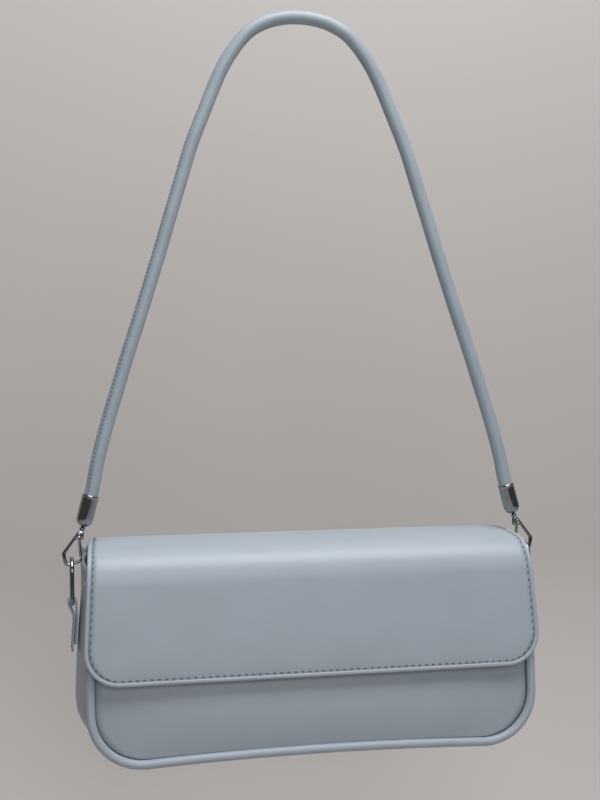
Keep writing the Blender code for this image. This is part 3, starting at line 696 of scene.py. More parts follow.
def rounded(outline: Sequence[tuple[float, float]], radius: float, steps: int = 6) -> Array:
    """A closed outline with each corner replaced by a curve.

    Args:
        outline: The corners in order.
        radius: How far from a corner its curve starts, or LONGEST_CURVE of a shorter side.
        steps: Points on each curve.

    Returns:
        The points of the smooth outline.
    """
    corners = np.array(outline, dtype=float)
    before, after = np.roll(corners, 1, 0) - corners, np.roll(corners, -1, 0) - corners
    reach = [np.minimum(radius, LONGEST_CURVE * np.linalg.norm(step, axis=1))[:, None]
             for step in (before, after)]
    first, last = corners + unit(before) * reach[0], corners + unit(after) * reach[1]
    t = np.linspace(0.0, 1.0, steps)[None, :, None]
    curve = (1 - t) ** 2 * first[:, None] + 2 * t * (1 - t) * corners[:, None] + t ** 2 * last[:, None]
    return curve.reshape(-1, 2)


def plaque(outline: Array, thickness: float, edge: float) -> Shell:
    """A flat piece in the XZ plane with rounded edges.

    The outline is carried round a half ellipse: at an angle it moves inwards by edge times one
    minus the cosine, and in Y by half the thickness times the sine.

    Args:
        outline: Closed (x, z) outline.
        thickness: Size in Y.
        edge: How wide the rounding is in the plane.

    Returns:
        The closed piece, centred on Y = 0.
    """
    around = np.roll(outline, -1, 0) - np.roll(outline, 1, 0)
    inward = unit(np.column_stack([-around[:, 1], around[:, 0]]))
    (x, z), (next_x, next_z) = outline.T, np.roll(outline, -1, 0).T
    inward *= math.copysign(1.0, np.sum(x * next_z - z * next_x))
    angles = np.radians(np.linspace(-90.0, 90.0, 9))
    points = np.empty((len(angles), len(outline), 3))
    points[..., 0::2] = outline + inward * (edge * (1 - np.cos(angles)))[:, None, None]
    points[..., 1] = thickness / 2 * np.sin(angles)[:, None]
    shell = grid(points, around=True)
    last = (len(angles) - 1) * len(outline)
    shell.faces += [tuple(range(len(outline)))[::-1], tuple(range(last, last + len(outline)))]
    return shell.outward()


def smooth_path(points: Sequence[Sequence[float]], pitch: float) -> Array:
    """Points at an even pitch along a Catmull-Rom curve through the given ones.

    Args:
        points: The points in order.
        pitch: How far apart the new points are.

    Returns:
        The points of the curve.
    """
    given = np.asarray(points, dtype=float)
    ends = np.vstack([2 * given[:1] - given[1:2], given, 2 * given[-1:] - given[-2:-1]])
    t = np.linspace(0.0, 1.0, 20, endpoint=False)[None, :, None]
    p0, p1, p2, p3 = (ends[i:len(given) - 1 + i, None] for i in range(4))
    dense = (p1 + t * (p2 - p0) / 2 + t ** 2 * (p0 - 2.5 * p1 + 2 * p2 - p3 / 2)
             + t ** 3 * (1.5 * (p1 - p2) + (p3 - p0) / 2)).reshape(-1, given.shape[1])
    dense = np.vstack([dense, given[-1:]])
    return even(dense, pitch)


def even(path: Array, pitch: float) -> Array:
    """The path's points spread at an even pitch near the one given.

    Args:
        path: The points in order.
        pitch: How far apart the new points are.

    Returns:
        The new points.
    """
    run = lengths(path)
    stops = np.linspace(0.0, run[-1], max(2, round(run[-1] / pitch) + 1))
    return np.column_stack([np.interp(stops, run, path[:, axis]) for axis in range(path.shape[1])])


def lengths(path: Array) -> Array:
    """How far each point of a path is along it."""
    return np.concatenate([[0.0], np.cumsum(np.linalg.norm(np.diff(path, axis=0), axis=1))])


def carve(target: bpy.types.Object, *cutters: Shell) -> None:
    """Take the shape of each cutter out of a piece's mesh.

    Args:
        target: The piece.
        cutters: What is cut out of it, in order.
    """
    for cutter in cutters:
        tool = cutter.build("cutter", target.data.materials[0])
        modifier = target.modifiers.new("carve", "BOOLEAN")
        modifier.object, modifier.solver = tool, "EXACT"
        bpy.context.view_layer.update()
        carved = bpy.data.meshes.new_from_object(target.evaluated_get(bpy.context.evaluated_depsgraph_get()))
        target.modifiers.clear()
        target.data = carved
        bpy.data.objects.remove(tool)


@dataclass(frozen=True)
class BagForm:
    """The surfaces that the bag's pieces share: its leaning front, its arched bottom and its flap."""

    half_width: float = 0.13015
    back_y: float = 0.0375
    top_z: float = -0.303902
    bottom_z: float = -0.427302
    arch: float = 0.0045
    corner: float = 0.0334
    front_top_z: float = -0.321402
    lean: float = 0.0070
    piping: float = 0.0026
    fold_depth: float = 0.0680
    fold_drop: float = 0.0048
    fold_dome: float = 0.0035
    fold_reach: float = 0.0160
    hem_z: float = -0.378602
    flap_half: float = 0.12875
    flap_shares: tuple[float, float] = (0.969, 1.027)
    flap_corner: float = 0.0203
    piping_behind: float = 0.006655
    back_piping_top_z: float = -0.307833
    bulge_top: float = 0.0025
    bulge_most: float = 0.0073
    bulge_floor: float = 0.0006
    bulge_z: float = -0.389302
    bulge_ease: float = 1.4

    @property
    def piping_half(self) -> float:
        """Half the width between the centres of the pipings."""
        return self.half_width - self.piping

    @property
    def piping_corner(self) -> float:
        """The radius of the pipings' lower corners."""
        return self.corner - self.piping

    @property
    def piping_bottom_z(self) -> float:
        """Height of the pipings' centres at the floor."""
        return self.bottom_z + self.piping

    @property
    def fold(self) -> Array:
        """(y, z) of the corner that the fold rounds."""
        return np.array([self.back_y - self.fold_depth, self.top_z - self.fold_drop])

    def lift(self, x: Array, z: Array) -> Array:
        """How far the arch of the bottom lifts a point: a parabola in X times a square in depth."""
        depth = np.clip((self.front_top_z - z) / (self.front_top_z - self.bottom_z), 0.0, 1.0)
        return self.arch * (1 - np.clip(np.abs(x) / self.half_width, 0.0, 1.0) ** 2) * depth ** 2

    def flap_y(self, z: Array) -> Array:
        """Y of the flap's outer surface: a parabola from the fold that is upright at the bottom."""
        share = np.clip((self.fold[1] - z) / (self.fold[1] - self.bottom_z), 0.0, 1.0)
        return self.fold[0] - self.lean * (1 - (1 - share) ** 2)

    def piping_y(self, z: Array) -> Array:
        """Y of the front piping's centre."""
        return self.flap_y(z) + self.piping_behind

    def mouth_z(self, y: Array) -> Array:
        """Height over the mouth of the straight line from the flap's back edge to its fold."""
        return self.top_z - self.fold_drop * (self.back_y - y) / self.fold_depth

    def bulge(self, z: Array) -> Array:
        """How far the gusset swells outwards: a power above its widest height and a cosine below.

        Args:
            z: Heights.

        Returns:
            How far it stands out at each.
        """
        above = np.clip((z - self.bulge_z) / (self.front_top_z - self.bulge_z), 0.0, 1.0)
        below = np.clip((self.bulge_z - z) / (self.bulge_z - self.piping_bottom_z), 0.0, 1.0)
        swell = self.bulge_most + (self.bulge_top - self.bulge_most) * above ** self.bulge_ease
        return swell - (swell - self.bulge_floor) * (1 - np.cos(math.pi * below)) / 2

    @staticmethod
    def half_u(half: float, corner: float, top: float, bottom: float) -> Array:
        """(x, z) points down the right side and round its corner to the lowest line.

        Args:
            half: Half the width.
            corner: The corner's radius.
            top: Height of the upper end.
            bottom: Height of the lowest line.

        Returns:
            The points in order.
        """
        turn = np.linspace(0.0, math.pi / 2, 25)
        x = np.concatenate([[half], half - corner + corner * np.cos(turn)])
        z = np.concatenate([[top], bottom + corner - corner * np.sin(turn)])
        return np.column_stack([x, z])

    def u_path(self, half: float, corner: float, top: float, bottom: float, pitch: float = 0.002) -> Array:
        """(x, z) points down the left, across the bottom and up the right, round two corners.

        Args:
            half: Half the width.
            corner: The corners' radius.
            top: Height of both ends.
            bottom: Height of the lowest line.
            pitch: About how far apart the points are.

        Returns:
            The points in order.
        """
        right = self.half_u(half, corner, top, bottom)
        return even(np.vstack([right * [-1, 1], right[::-1]]), pitch)

    def rows(self, half: float, corner: float, top: float, bottom: float, count: int) -> tuple[Array, Array]:
        """Half widths and heights of even rows down to the bottom, round the corners.

        Args:
            half: Half the width.
            corner: The corners' radius.
            top: Height of the first row.
            bottom: Height of the last row.
            count: How many rows there are.

        Returns:
            The half width and the height of each row.
        """
        edge = self.half_u(half, corner, top, bottom)
        run = lengths(edge)
        stops = np.linspace(0.0, run[-1], count)
        return np.interp(stops, run, edge[:, 0]), np.interp(stops, run, edge[:, 1])


@dataclass
class FlapLine:
    """The flap's side view: points and outward normals by the run from the back edge to the hem."""

    form: BagForm
    bend_points: int = 40
    front_points: int = 80
    run: Array = field(init=False)
    points: Array = field(init=False)
    normals: Array = field(init=False)
    bend: tuple[float, float] = field(init=False)

    def __post_init__(self) -> None:
        """Join a top domed by a parabola, a quadratic curve round the fold and the leaning front."""
        form, fold = self.form, self.form.fold
        back = np.array([form.back_y, form.top_z])
        last = 1 - form.fold_reach / math.hypot(form.fold_depth, form.fold_drop)
        share = np.linspace(0.0, last, self.bend_points)[:, None]
        top = back + share * (fold - back) + 4 * form.fold_dome * share * (1 - share) * np.array([0.0, 1.0])
        front_z = np.linspace(fold[1] - form.fold_reach, form.hem_z, self.front_points)
        front = np.column_stack([form.flap_y(front_z), front_z])
        start, end = top[-1], front[0]
        along = np.linalg.solve(np.column_stack([start - top[-2], front[1] - end]), end - start)[0]
        middle = start + along * (start - top[-2])
        t = np.linspace(0.0, 1.0, self.bend_points)[:, None]
        bend = (1 - t) ** 2 * start + 2 * t * (1 - t) * middle + t ** 2 * end
        self.points = np.vstack([top[:-1], bend[:-1], front])
        self.run = lengths(self.points)
        tangents = unit(np.gradient(self.points, self.run, axis=0))
        self.normals = np.column_stack([tangents[:, 1], -tangents[:, 0]])
        first = self.bend_points - 1
        self.bend = (float(self.run[first]), float(self.run[2 * first]))

    @property
    def hem(self) -> float:
        """The run at the hem."""
        return float(self.run[-1])

    def normal(self, run: Array) -> Array:
        """Outward (y, z) normals at some runs."""
        return unit(np.stack([np.interp(run, self.run, self.normals[:, axis]) for axis in range(2)], axis=-1))

    def at(self, run: Array, depth: Any = 0.0) -> Array:
        """(y, z) on the flap at some runs, that deep under its outer surface."""
        surface = np.stack([np.interp(run, self.run, self.points[:, axis]) for axis in range(2)], axis=-1)
        return surface - self.normal(run) * np.asarray(depth)[..., None]

    def place(self, x: Array, run: Array, depth: Any = 0.0) -> Array:
        """Points in space at some X, spread evenly more towards the hem, and run, at a depth."""
        yz, (first, last) = self.at(run, depth), self.form.flap_shares
        return np.stack([x * (first + (last - first) * run / self.hem), yz[..., 0], yz[..., 1]], axis=-1)

    def lift(self, run: Array) -> Array:
        """Outward normals in space at some runs."""
        yz = self.normal(run)
        return np.stack([np.zeros(yz.shape[:-1]), yz[..., 0], yz[..., 1]], axis=-1)


FORM = BagForm()
FLAP = FlapLine(FORM)


@dataclass(frozen=True)
class Lean:
    """The leaning axis that a strap end's cap and post are turned about."""

    side: Side
    mouth: tuple[float, float] = (0.124987, -0.2756)
    angle: float = math.radians(14.7)

    def at(self, depth: float) -> Array:
        """The point on the axis at a depth below the cap's mouth."""
        x = self.mouth[0] + depth * math.sin(self.angle)
        return np.array([self.side.value * x, 0.0, self.mouth[1] - depth * math.cos(self.angle)])

    @property
    def matrix(self) -> Matrix:
        """Carries a turned piece from Z onto the axis, its zero to the mouth."""
        turn = Matrix.Rotation(-self.side.value * self.angle, 4, "Y")
        return Matrix.Translation(Vector(self.at(0.0))) @ turn


@dataclass(frozen=True)
class Seam:
    """A row of machine stitches."""

    pitch: float = 0.0040
    length: float = 0.0024
    width: float = 0.00055
    flatness: float = 0.8
    proud: float = 0.00022
    sunk_share: float = 0.6
    slant: float = math.radians(7.0)
    sides: int = 6

    def sew(self, path: Array, up: Array) -> Shell:
        """Stitches along a path.

        Each is a bead along the path: its half width falls with the fourth power of the way to its
        ends, and its middle line sinks with the square, so that the ends dive into the leather.

        Args:
            path: Points on the leather's surface.
            up: The surface's normal at each point.

        Returns:
            All the beads as one shell.
        """
        run = lengths(path)
        count = max(1, int(run[-1] / self.pitch))
        stops = (np.arange(count) + 0.5) * run[-1] / count
        up = unit(np.broadcast_to(np.asarray(up, dtype=float), path.shape))
        ways = unit(np.gradient(path, axis=0))
        centre, way, lift = (np.column_stack([np.interp(stops, run, values[:, axis]) for axis in range(3)])
                             for values in (path, ways, up))
        lift = unit(lift)
        side = unit(np.cross(way, lift))
        way = unit(way + side * math.tan(self.slant))
        side = unit(np.cross(way, lift))
        share = np.array([-1.0, -0.85, -0.45, 0.0, 0.45, 0.85, 1.0])
        angles = np.linspace(0.0, 2 * math.pi, self.sides, endpoint=False)
        half = self.width / 2 * np.sqrt(1.02 - share ** 4)
        top, sunk = half.max(), self.sunk_share
        middle = self.proud - top * sunk - (self.proud + (1 - sunk) * top) * share ** 4
        across = np.outer(half, np.cos(angles))
        high = np.outer(half * self.flatness, np.sin(angles)) + middle[:, None]
        along = (share * self.length / 2)[:, None] * np.ones(self.sides)
        parts = [(centre, np.ones_like(along)), (way, along), (side, across), (lift, high)]
        points = sum(vectors[:, None, None] * amount[None, ..., None] for vectors, amount in parts)
        bead = grid(points[0], around=True)
        last = (len(share) - 1) * self.sides
        bead.faces += [tuple(range(self.sides))[::-1], tuple(range(last, last + self.sides))]
        bead = bead.outward()
        step = len(bead.points)
        faces = [tuple(i + n * step for i in face) for n in range(count) for face in bead.faces]
        return Shell(points.reshape(-1, 3), faces)


@dataclass
class Strap:
    """The rolled leather strap, a free cord whose two ends go into bell caps."""

    radius: float = 0.0040
    pitch: float = 0.0016
    sides: int = 56
    groove: float = 0.00035
    groove_half: float = 0.0005
    seam_angles: tuple[float, float] = (math.radians(132.0), math.radians(225.0))
    straight: float = 0.0040
    inside: float = 0.0110
    route: tuple[tuple[float, float], ...] = (
        (0.00000, 0.0040), (0.00999, 0.0031), (0.01998, 0.0002), (0.02997, -0.0057), (0.03886, -0.0160),
        (0.04715, -0.0300), (0.05724, -0.0540), (0.06503, -0.0740), (0.07122, -0.0940), (0.07742, -0.1140),
        (0.08341, -0.1340), (0.08970, -0.1540), (0.09609, -0.1740), (0.10269, -0.1940), (0.10888, -0.2140),
        (0.11527, -0.2350), (0.12087, -0.2560),
    )

    def path(self) -> Array:
        """Points along the strap's middle line from the left cap to the right one.

        Returns:
            The points, an even pitch apart.
        """
        lean = Lean(Side.RIGHT)
        ends = [tuple(lean.at(depth)[[0, 2]]) for depth in (-self.straight, self.inside)]
        half = [*self.route, *ends]
        line = smooth_path([(-x, z) for x, z in half[:0:-1]] + half, self.pitch)
        return np.column_stack([line[:, 0], np.zeros(len(line)), line[:, 1]])

    def make(self, caps: list[bpy.types.Object]) -> bpy.types.Object:
        """Sweep the strap's round section, with a groove whose depth is a bell curve at the seam.

        The seam turns evenly round the strap from its left end to its right end.

        Args:
            caps: Not used.

        Returns:
            The strap.
        """
        path = self.path()
        angles = np.linspace(0.0, 2 * math.pi, self.sides, endpoint=False)
        run, (first, last) = lengths(path), self.seam_angles
        seam = (first + (last - first) * run / run[-1])[:, None]
        off = self.radius * np.abs((angles - seam + math.pi) % (2 * math.pi) - math.pi)
        radius = self.radius - self.groove * np.exp(-(off / self.groove_half) ** 2)
        section = np.stack([radius * np.cos(angles), radius * np.sin(angles)], axis=-1)
        shell = sweep(path, section, np.array([0.0, -1.0, 0.0]))
        shell.marks = {"run": np.repeat(run, self.sides), "off_seam": off.ravel()}
        leather = SHADED_STRAP_SKIN.make("strap_leather")
        strap = shell.piece("strap_leather", leather, "strap", "leather", "strap_cover")
        2 * self.radius
        return strap


@dataclass
class EndCap:
    """A bell-shaped metal cap on a strap's end, with the post that turns in its floor."""

    side: Side
    metal: bpy.types.Material
    radius: float = 0.0048
    wall: float = 0.0005
    length: float = 0.0185
    dome: float = 0.0048
    floor: float = 0.0009
    hole: float = 0.0012
    lip: float = 0.00018
    lip_height: float = 0.0011
    under_lip: float = 0.001
    play: float = 0.0003
    post: float = 0.0009
    collar: float = 0.0017
    collar_half: float = 0.0009
    collar_seat: float = 0.0019
    head: tuple[tuple[float, float], ...] = (
        (0.0, 0.0014), (0.0021, 0.0013), (0.0023, 0.0010), (0.0016, 0.0), (0.0009, 0.0),
    )

    def make_cap(self) -> bpy.types.Object:
        """Turn the cap: a beaded mouth, a straight wall and an elliptic dome, hollow inside.

        Returns:
            The piece.
        """
        start = self.length - self.dome
        inner = self.radius - self.wall
        turn = np.linspace(0.0, math.acos(self.hole / self.radius), 16)
        inner_turn = np.linspace(math.acos(self.hole / inner), 0.0, 12)
        bead = np.linspace(0.0, math.pi, 7)
        profile = [(inner, -self.lip), (inner + self.wall / 3, 0.0), (self.radius - self.wall / 4, 0.0)]
        profile += [(self.radius + self.lip * math.sin(a),
                     -self.lip_height * (1 - math.cos(a)) / 2 - self.lip) for a in bead]
        profile += [(self.radius, -self.lip_height - self.under_lip), (self.radius, -start / 2)]
        profile += [(self.radius * math.cos(a), -start - self.dome * math.sin(a)) for a in turn]
        depth = self.dome - self.floor
        profile += [(inner * math.cos(a), -start - depth * math.sin(a)) for a in inner_turn]
        shell = lathe(profile).turned(Lean(self.side).matrix)
        label = self.side.label
        return shell.piece(f"bell_cap_{label}", self.metal, "strap", "metal", f"end_cap_{label}")

    def make_post(self) -> bpy.types.Object:
        """Turn the post: a head inside the cap, a thin shaft and a round collar on the hook.

        Returns:
            The piece.
        """
        foot = -(self.length - self.floor - self.play)
        collar = -(self.length + self.play)
        profile = [(radius, foot + rise) for radius, rise in self.head] + [(self.post, collar)]
        turn = np.linspace(math.pi / 2, -math.pi / 2, 12)
        profile += [(self.post + (self.collar - self.post) * math.cos(a),
                     collar - self.collar_half + self.collar_half * math.sin(a)) for a in turn]
        profile += [(0.0, collar - self.collar_seat)]
        shell = lathe(profile, 40).turned(Lean(self.side).matrix)
        label = self.side.label
        return shell.piece(f"post_{label}", self.metal, f"hook_{label}", "metal", f"swivel_post_{label}")


@dataclass
class SnapHook:
    """A snap hook: a forged loop with a slotted head, a riveted pin and a sprung gate."""

    side: Side
    metal: bpy.types.Material
    left: float = 0.128887
    top: float = -0.295202
    width: float = 0.0130
    height: float = 0.0208
    thickness: float = 0.0024
    corner: float = 0.0014
    edge: float = 0.00065
    pin: tuple[float, float] = (0.225, -0.142)
    pin_hole: float = 0.0009
    drill: float = 0.004
    slot_half: float = 0.00065
    slot_side: float = 0.002
    slot_share: float = 0.354
    slot_span: tuple[float, float] = (-0.0055, 0.00195)
    gate_thickness: float = 0.0010
    gate_edge: float = 0.00028
    gate_eye: float = 0.0015
    gate_tip: float = 0.0008
    gate_end: tuple[float, float] = (0.181, -0.735)
    crease: float = math.radians(40)
    outline: tuple[tuple[float, float], ...] = (
        (0.000, -0.030), (0.235, 0.000), (1.000, -0.625), (0.900, -0.923), (0.785, -1.000),
        (0.115, -0.885), (0.115, -0.755), (0.185, -0.755), (0.192, -0.806), (0.738, -0.904),
        (0.831, -0.644), (0.400, -0.260), (0.020, -0.274),
    )
    rivet: tuple[tuple[float, float], ...] = (
        (0.0, 0.00155), (0.00045, 0.00160), (0.00075, 0.00185), (0.00100, 0.00200), (0.00125, 0.00192),
        (0.00140, 0.00160), (0.00138, 0.00126), (0.00065, 0.00126),
    )

    def at(self, shares: Sequence[float]) -> tuple[float, float]:
        """(x, z) of a place given as shares of the hook's width and height."""
        return self.side.value * (self.left + self.width * shares[0]), self.top + self.height * shares[1]

    def _across(self, profile: Sequence[tuple[float, float]], steps: int) -> Shell:
        """A turned piece along Y through the pin's place.

        Args:
            profile: (radius, height) points.
            steps: How many sides it has.

        Returns:
            The turned shell.
        """
        x, z = self.at(self.pin)
        place = Matrix.Translation((x, 0.0, z)) @ Matrix.Rotation(math.pi / 2, 4, "X")
        return lathe(profile, steps).turned(place)

    def _drilled(self, piece: bpy.types.Object, *cutters: Shell) -> bpy.types.Object:
        """The piece with the cutters and the pin's hole taken out, smooth but for its creases.

        Args:
            piece: The piece.
            cutters: What is cut out of it first.

        Returns:
            The piece.
        """
        radius, half = self.pin_hole, self.drill / 2
        hole = self._across([(0.0, -half), (radius, -half), (radius, half), (0.0, half)], 32)
        carve(piece, *cutters, hole)
        piece.data.polygons.foreach_set("use_smooth", [True] * len(piece.data.polygons))
        piece.data.set_sharp_from_angle(angle=self.crease)
        return piece

    def _slot(self) -> Shell:
        """The box that is cut out of the head for the gate.

        Returns:
            The box.
        """
        x = sorted((self.side.value * (self.left - self.slot_side), self.at((self.slot_share, 0.0))[0]))
        z = (self.at(self.pin)[1] + end for end in self.slot_span)
        box = np.array(list(itertools.product(x, (-self.slot_half, self.slot_half), z)))
        faces = [(0, 1, 3, 2), (4, 6, 7, 5), (0, 4, 5, 1), (2, 3, 7, 6), (0, 2, 6, 4), (1, 5, 7, 3)]
        return Shell(box, faces).outward()

    def make_frame(self) -> bpy.types.Object:
        """Round the loop's outline and edges, then cut its slot and the pin's hole.

        Returns:
            The piece.
        """
        outline = rounded([self.at(shares) for shares in self.outline], self.corner)
        frame = plaque(outline, self.thickness, self.edge).build(f"hook_loop_{self.side.label}", self.metal)
        frame = self._drilled(frame, self._slot())
        return settle(frame, f"hook_{self.side.label}", "metal", f"hook_frame_{self.side.label}")

    def make_pin(self) -> bpy.types.Object:
        """Turn the rivet: a dimpled, rolled head on each side of the hook.

        Returns:
            The piece.
        """
        profile = [*self.rivet, *((radius, -z) for radius, z in reversed(self.rivet))]
        pin, label = self._across(profile, 40), self.side.label
        return pin.piece(f"rivet_{label}", self.metal, f"hook_{label}", "metal", f"gate_pin_{label}")

    def make_gate(self) -> bpy.types.Object:
        """Draw the gate's outline, an eye with a bar to its round tip, and drill the eye.

        Returns:
            The piece.
        """
        (x, z), (tip_x, tip_z), sign = self.at(self.pin), self.at(self.gate_end), self.side.value
        turn = np.radians(np.linspace(-55.0, 235.0, 31))
        eye = np.column_stack([x + sign * self.gate_eye * np.cos(turn), z + self.gate_eye * np.sin(turn)])
        turn = np.radians(np.linspace(180.0, 360.0, 17))
        tip = np.column_stack([tip_x + sign * self.gate_tip * np.cos(turn),
                               tip_z + self.gate_tip * (1 + np.sin(turn))])
        gate = plaque(np.vstack([eye, tip]), self.gate_thickness, self.gate_edge)
        gate = self._drilled(gate.build(f"gate_bar_{self.side.label}", self.metal))
        return settle(gate, f"gate_{self.side.label}", "metal", f"hook_gate_{self.side.label}")


@dataclass
class RingTab:
    """A ring with a straight lower bar, and the leather tab that holds it on the gusset."""

    side: Side
    metal: bpy.types.Material
    leather: bpy.types.Material
    thread: bpy.types.Material
    x: float = 0.136193
    wire: float = 0.0012
    wire_pitch: float = 0.0007
    half: float = 0.0078
    corner: float = 0.0026
    top: float = -0.311300
    bottom: float = -0.336200
    tab_width: float = 0.0118
    tab_thickness: float = 0.0012
    tab_end: float = -0.36320
    tab_edge: float = 0.0003
    tab_round: float = 0.0012
    inner_shorter: float = 0.0040
    gap: float = 0.0003
    gusset_half: float = 0.0005
    eased: float = 0.008
    pitch: float = 0.0008
    sewn: float = 0.020
    side_seam: Seam = Seam(pitch=0.0031, length=0.0021)
    end_seam: Seam = Seam(pitch=0.0028, length=0.0020)
    side_row: float = 0.0046
    end_row: float = 0.0042

    def make_ring(self) -> bpy.types.Object:
        """Sweep the wire along a D: a half circle on two uprights, with round lower corners.

        Returns:
            The piece.
        """
        turn = np.radians(np.linspace(-90.0, 0.0, 12))
        arch = np.radians(np.linspace(0.0, 90.0, 20))
        y = np.concatenate([[0.0], self.half - self.corner + self.corner * np.cos(turn),
                            self.half * np.cos(arch)])
        z = np.concatenate([[self.bottom], self.bottom + self.corner + self.corner * np.sin(turn),
                            self.top - self.half + self.half * np.sin(arch)])
        right = np.column_stack([y, z])
        line = even(np.vstack([right, right[-2::-1] * [-1, 1]]), self.wire_pitch)[:-1]
        path = np.column_stack([np.full(len(line), self.side.value * self.x), line])
        shell = sweep(path, circle(self.wire, 20), np.array([1.0, 0.0, 0.0]), closed=True)
        label = self.side.label
        return shell.piece(f"ring_wire_{label}", self.metal, f"ring_{label}_body", "metal", f"ring_{label}")

    def line(self) -> Array:
        """(x, z) points up the tab's outer leg, over the ring and down its inner leg.

        Returns:
            The points of the strip's middle line.
        """
        reach = self.wire + 1.5 * self.gap + self.tab_thickness / 2
        turn = np.radians(np.linspace(0.0, 180.0, 17))
        eased = self.bottom - self.eased
        outer_z = np.linspace(self.tab_end, eased, 16)
        inner_z = np.linspace(eased, self.tab_end + self.inner_shorter, 16)
        seat = self.gusset_half + self.gap + self.tab_thickness / 2
        inner_x, outer_x = (seat + FORM.piping_half + FORM.bulge(z) for z in (inner_z, outer_z))
        x = np.concatenate([outer_x + self.tab_thickness + self.gap, self.x + reach * np.cos(turn), inner_x])
        z = np.concatenate([outer_z, self.bottom + reach * np.sin(turn), inner_z])
        return even(np.column_stack([x, z]), self.pitch)

    def make_tab(self) -> list[bpy.types.Object]:
        """Thicken the strip along its line and sew it down with a row at each side and one below.

        Returns:
            The tab and its stitches.
        """
        line = self.line()
        tangents = unit(np.gradient(line, axis=0))
        facing = np.column_stack([tangents[:, 1], -tangents[:, 0]])
        run = lengths(line)
        near_end = np.minimum(run, run[-1] - run)
        half = self.tab_width / 2 - self.tab_round * np.clip(1 - near_end / self.tab_round, 0.0, 1.0) ** 2
        across = np.linspace(-1.0, 1.0, 13)
        faces = []
        for sign in (1, -1):
            place = line + sign * facing * self.tab_thickness / 2
            points = np.empty((len(line), len(across), 3))
            points[..., 0] = self.side.value * place[:, :1]
            points[..., 1] = half[:, None] * across
            points[..., 2] = place[:, 1:]
            faces.append(points)
        tab, label = slab(*faces, self.tab_edge), self.side.label
        tab = tab.piece(f"tab_leather_{label}", self.leather, "bag", "leather", f"ring_tab_{label}")
        rows = np.flatnonzero(run < self.sewn)[2:]
        outer = line[rows] + facing[rows] * self.tab_thickness / 2
        up = np.insert(facing[rows] * [self.side.value, 1.0], 1, 0.0, axis=1)
        outer = np.insert(outer * [self.side.value, 1.0], 1, 0.0, axis=1)
        seams = [self.side_seam.sew(outer + [0.0, y, 0.0], up) for y in (-self.side_row, self.side_row)]
        ends = np.linspace(-self.end_row, self.end_row, 8)[:, None] * [0.0, 1.0, 0.0]
        seams += [self.end_seam.sew(outer[row] + ends, up[row]) for row in (0, -1)]
        return [tab, sum(seams[1:], seams[0]).piece(f"tab_stitches_{label}", self.thread, "bag", "leather")]


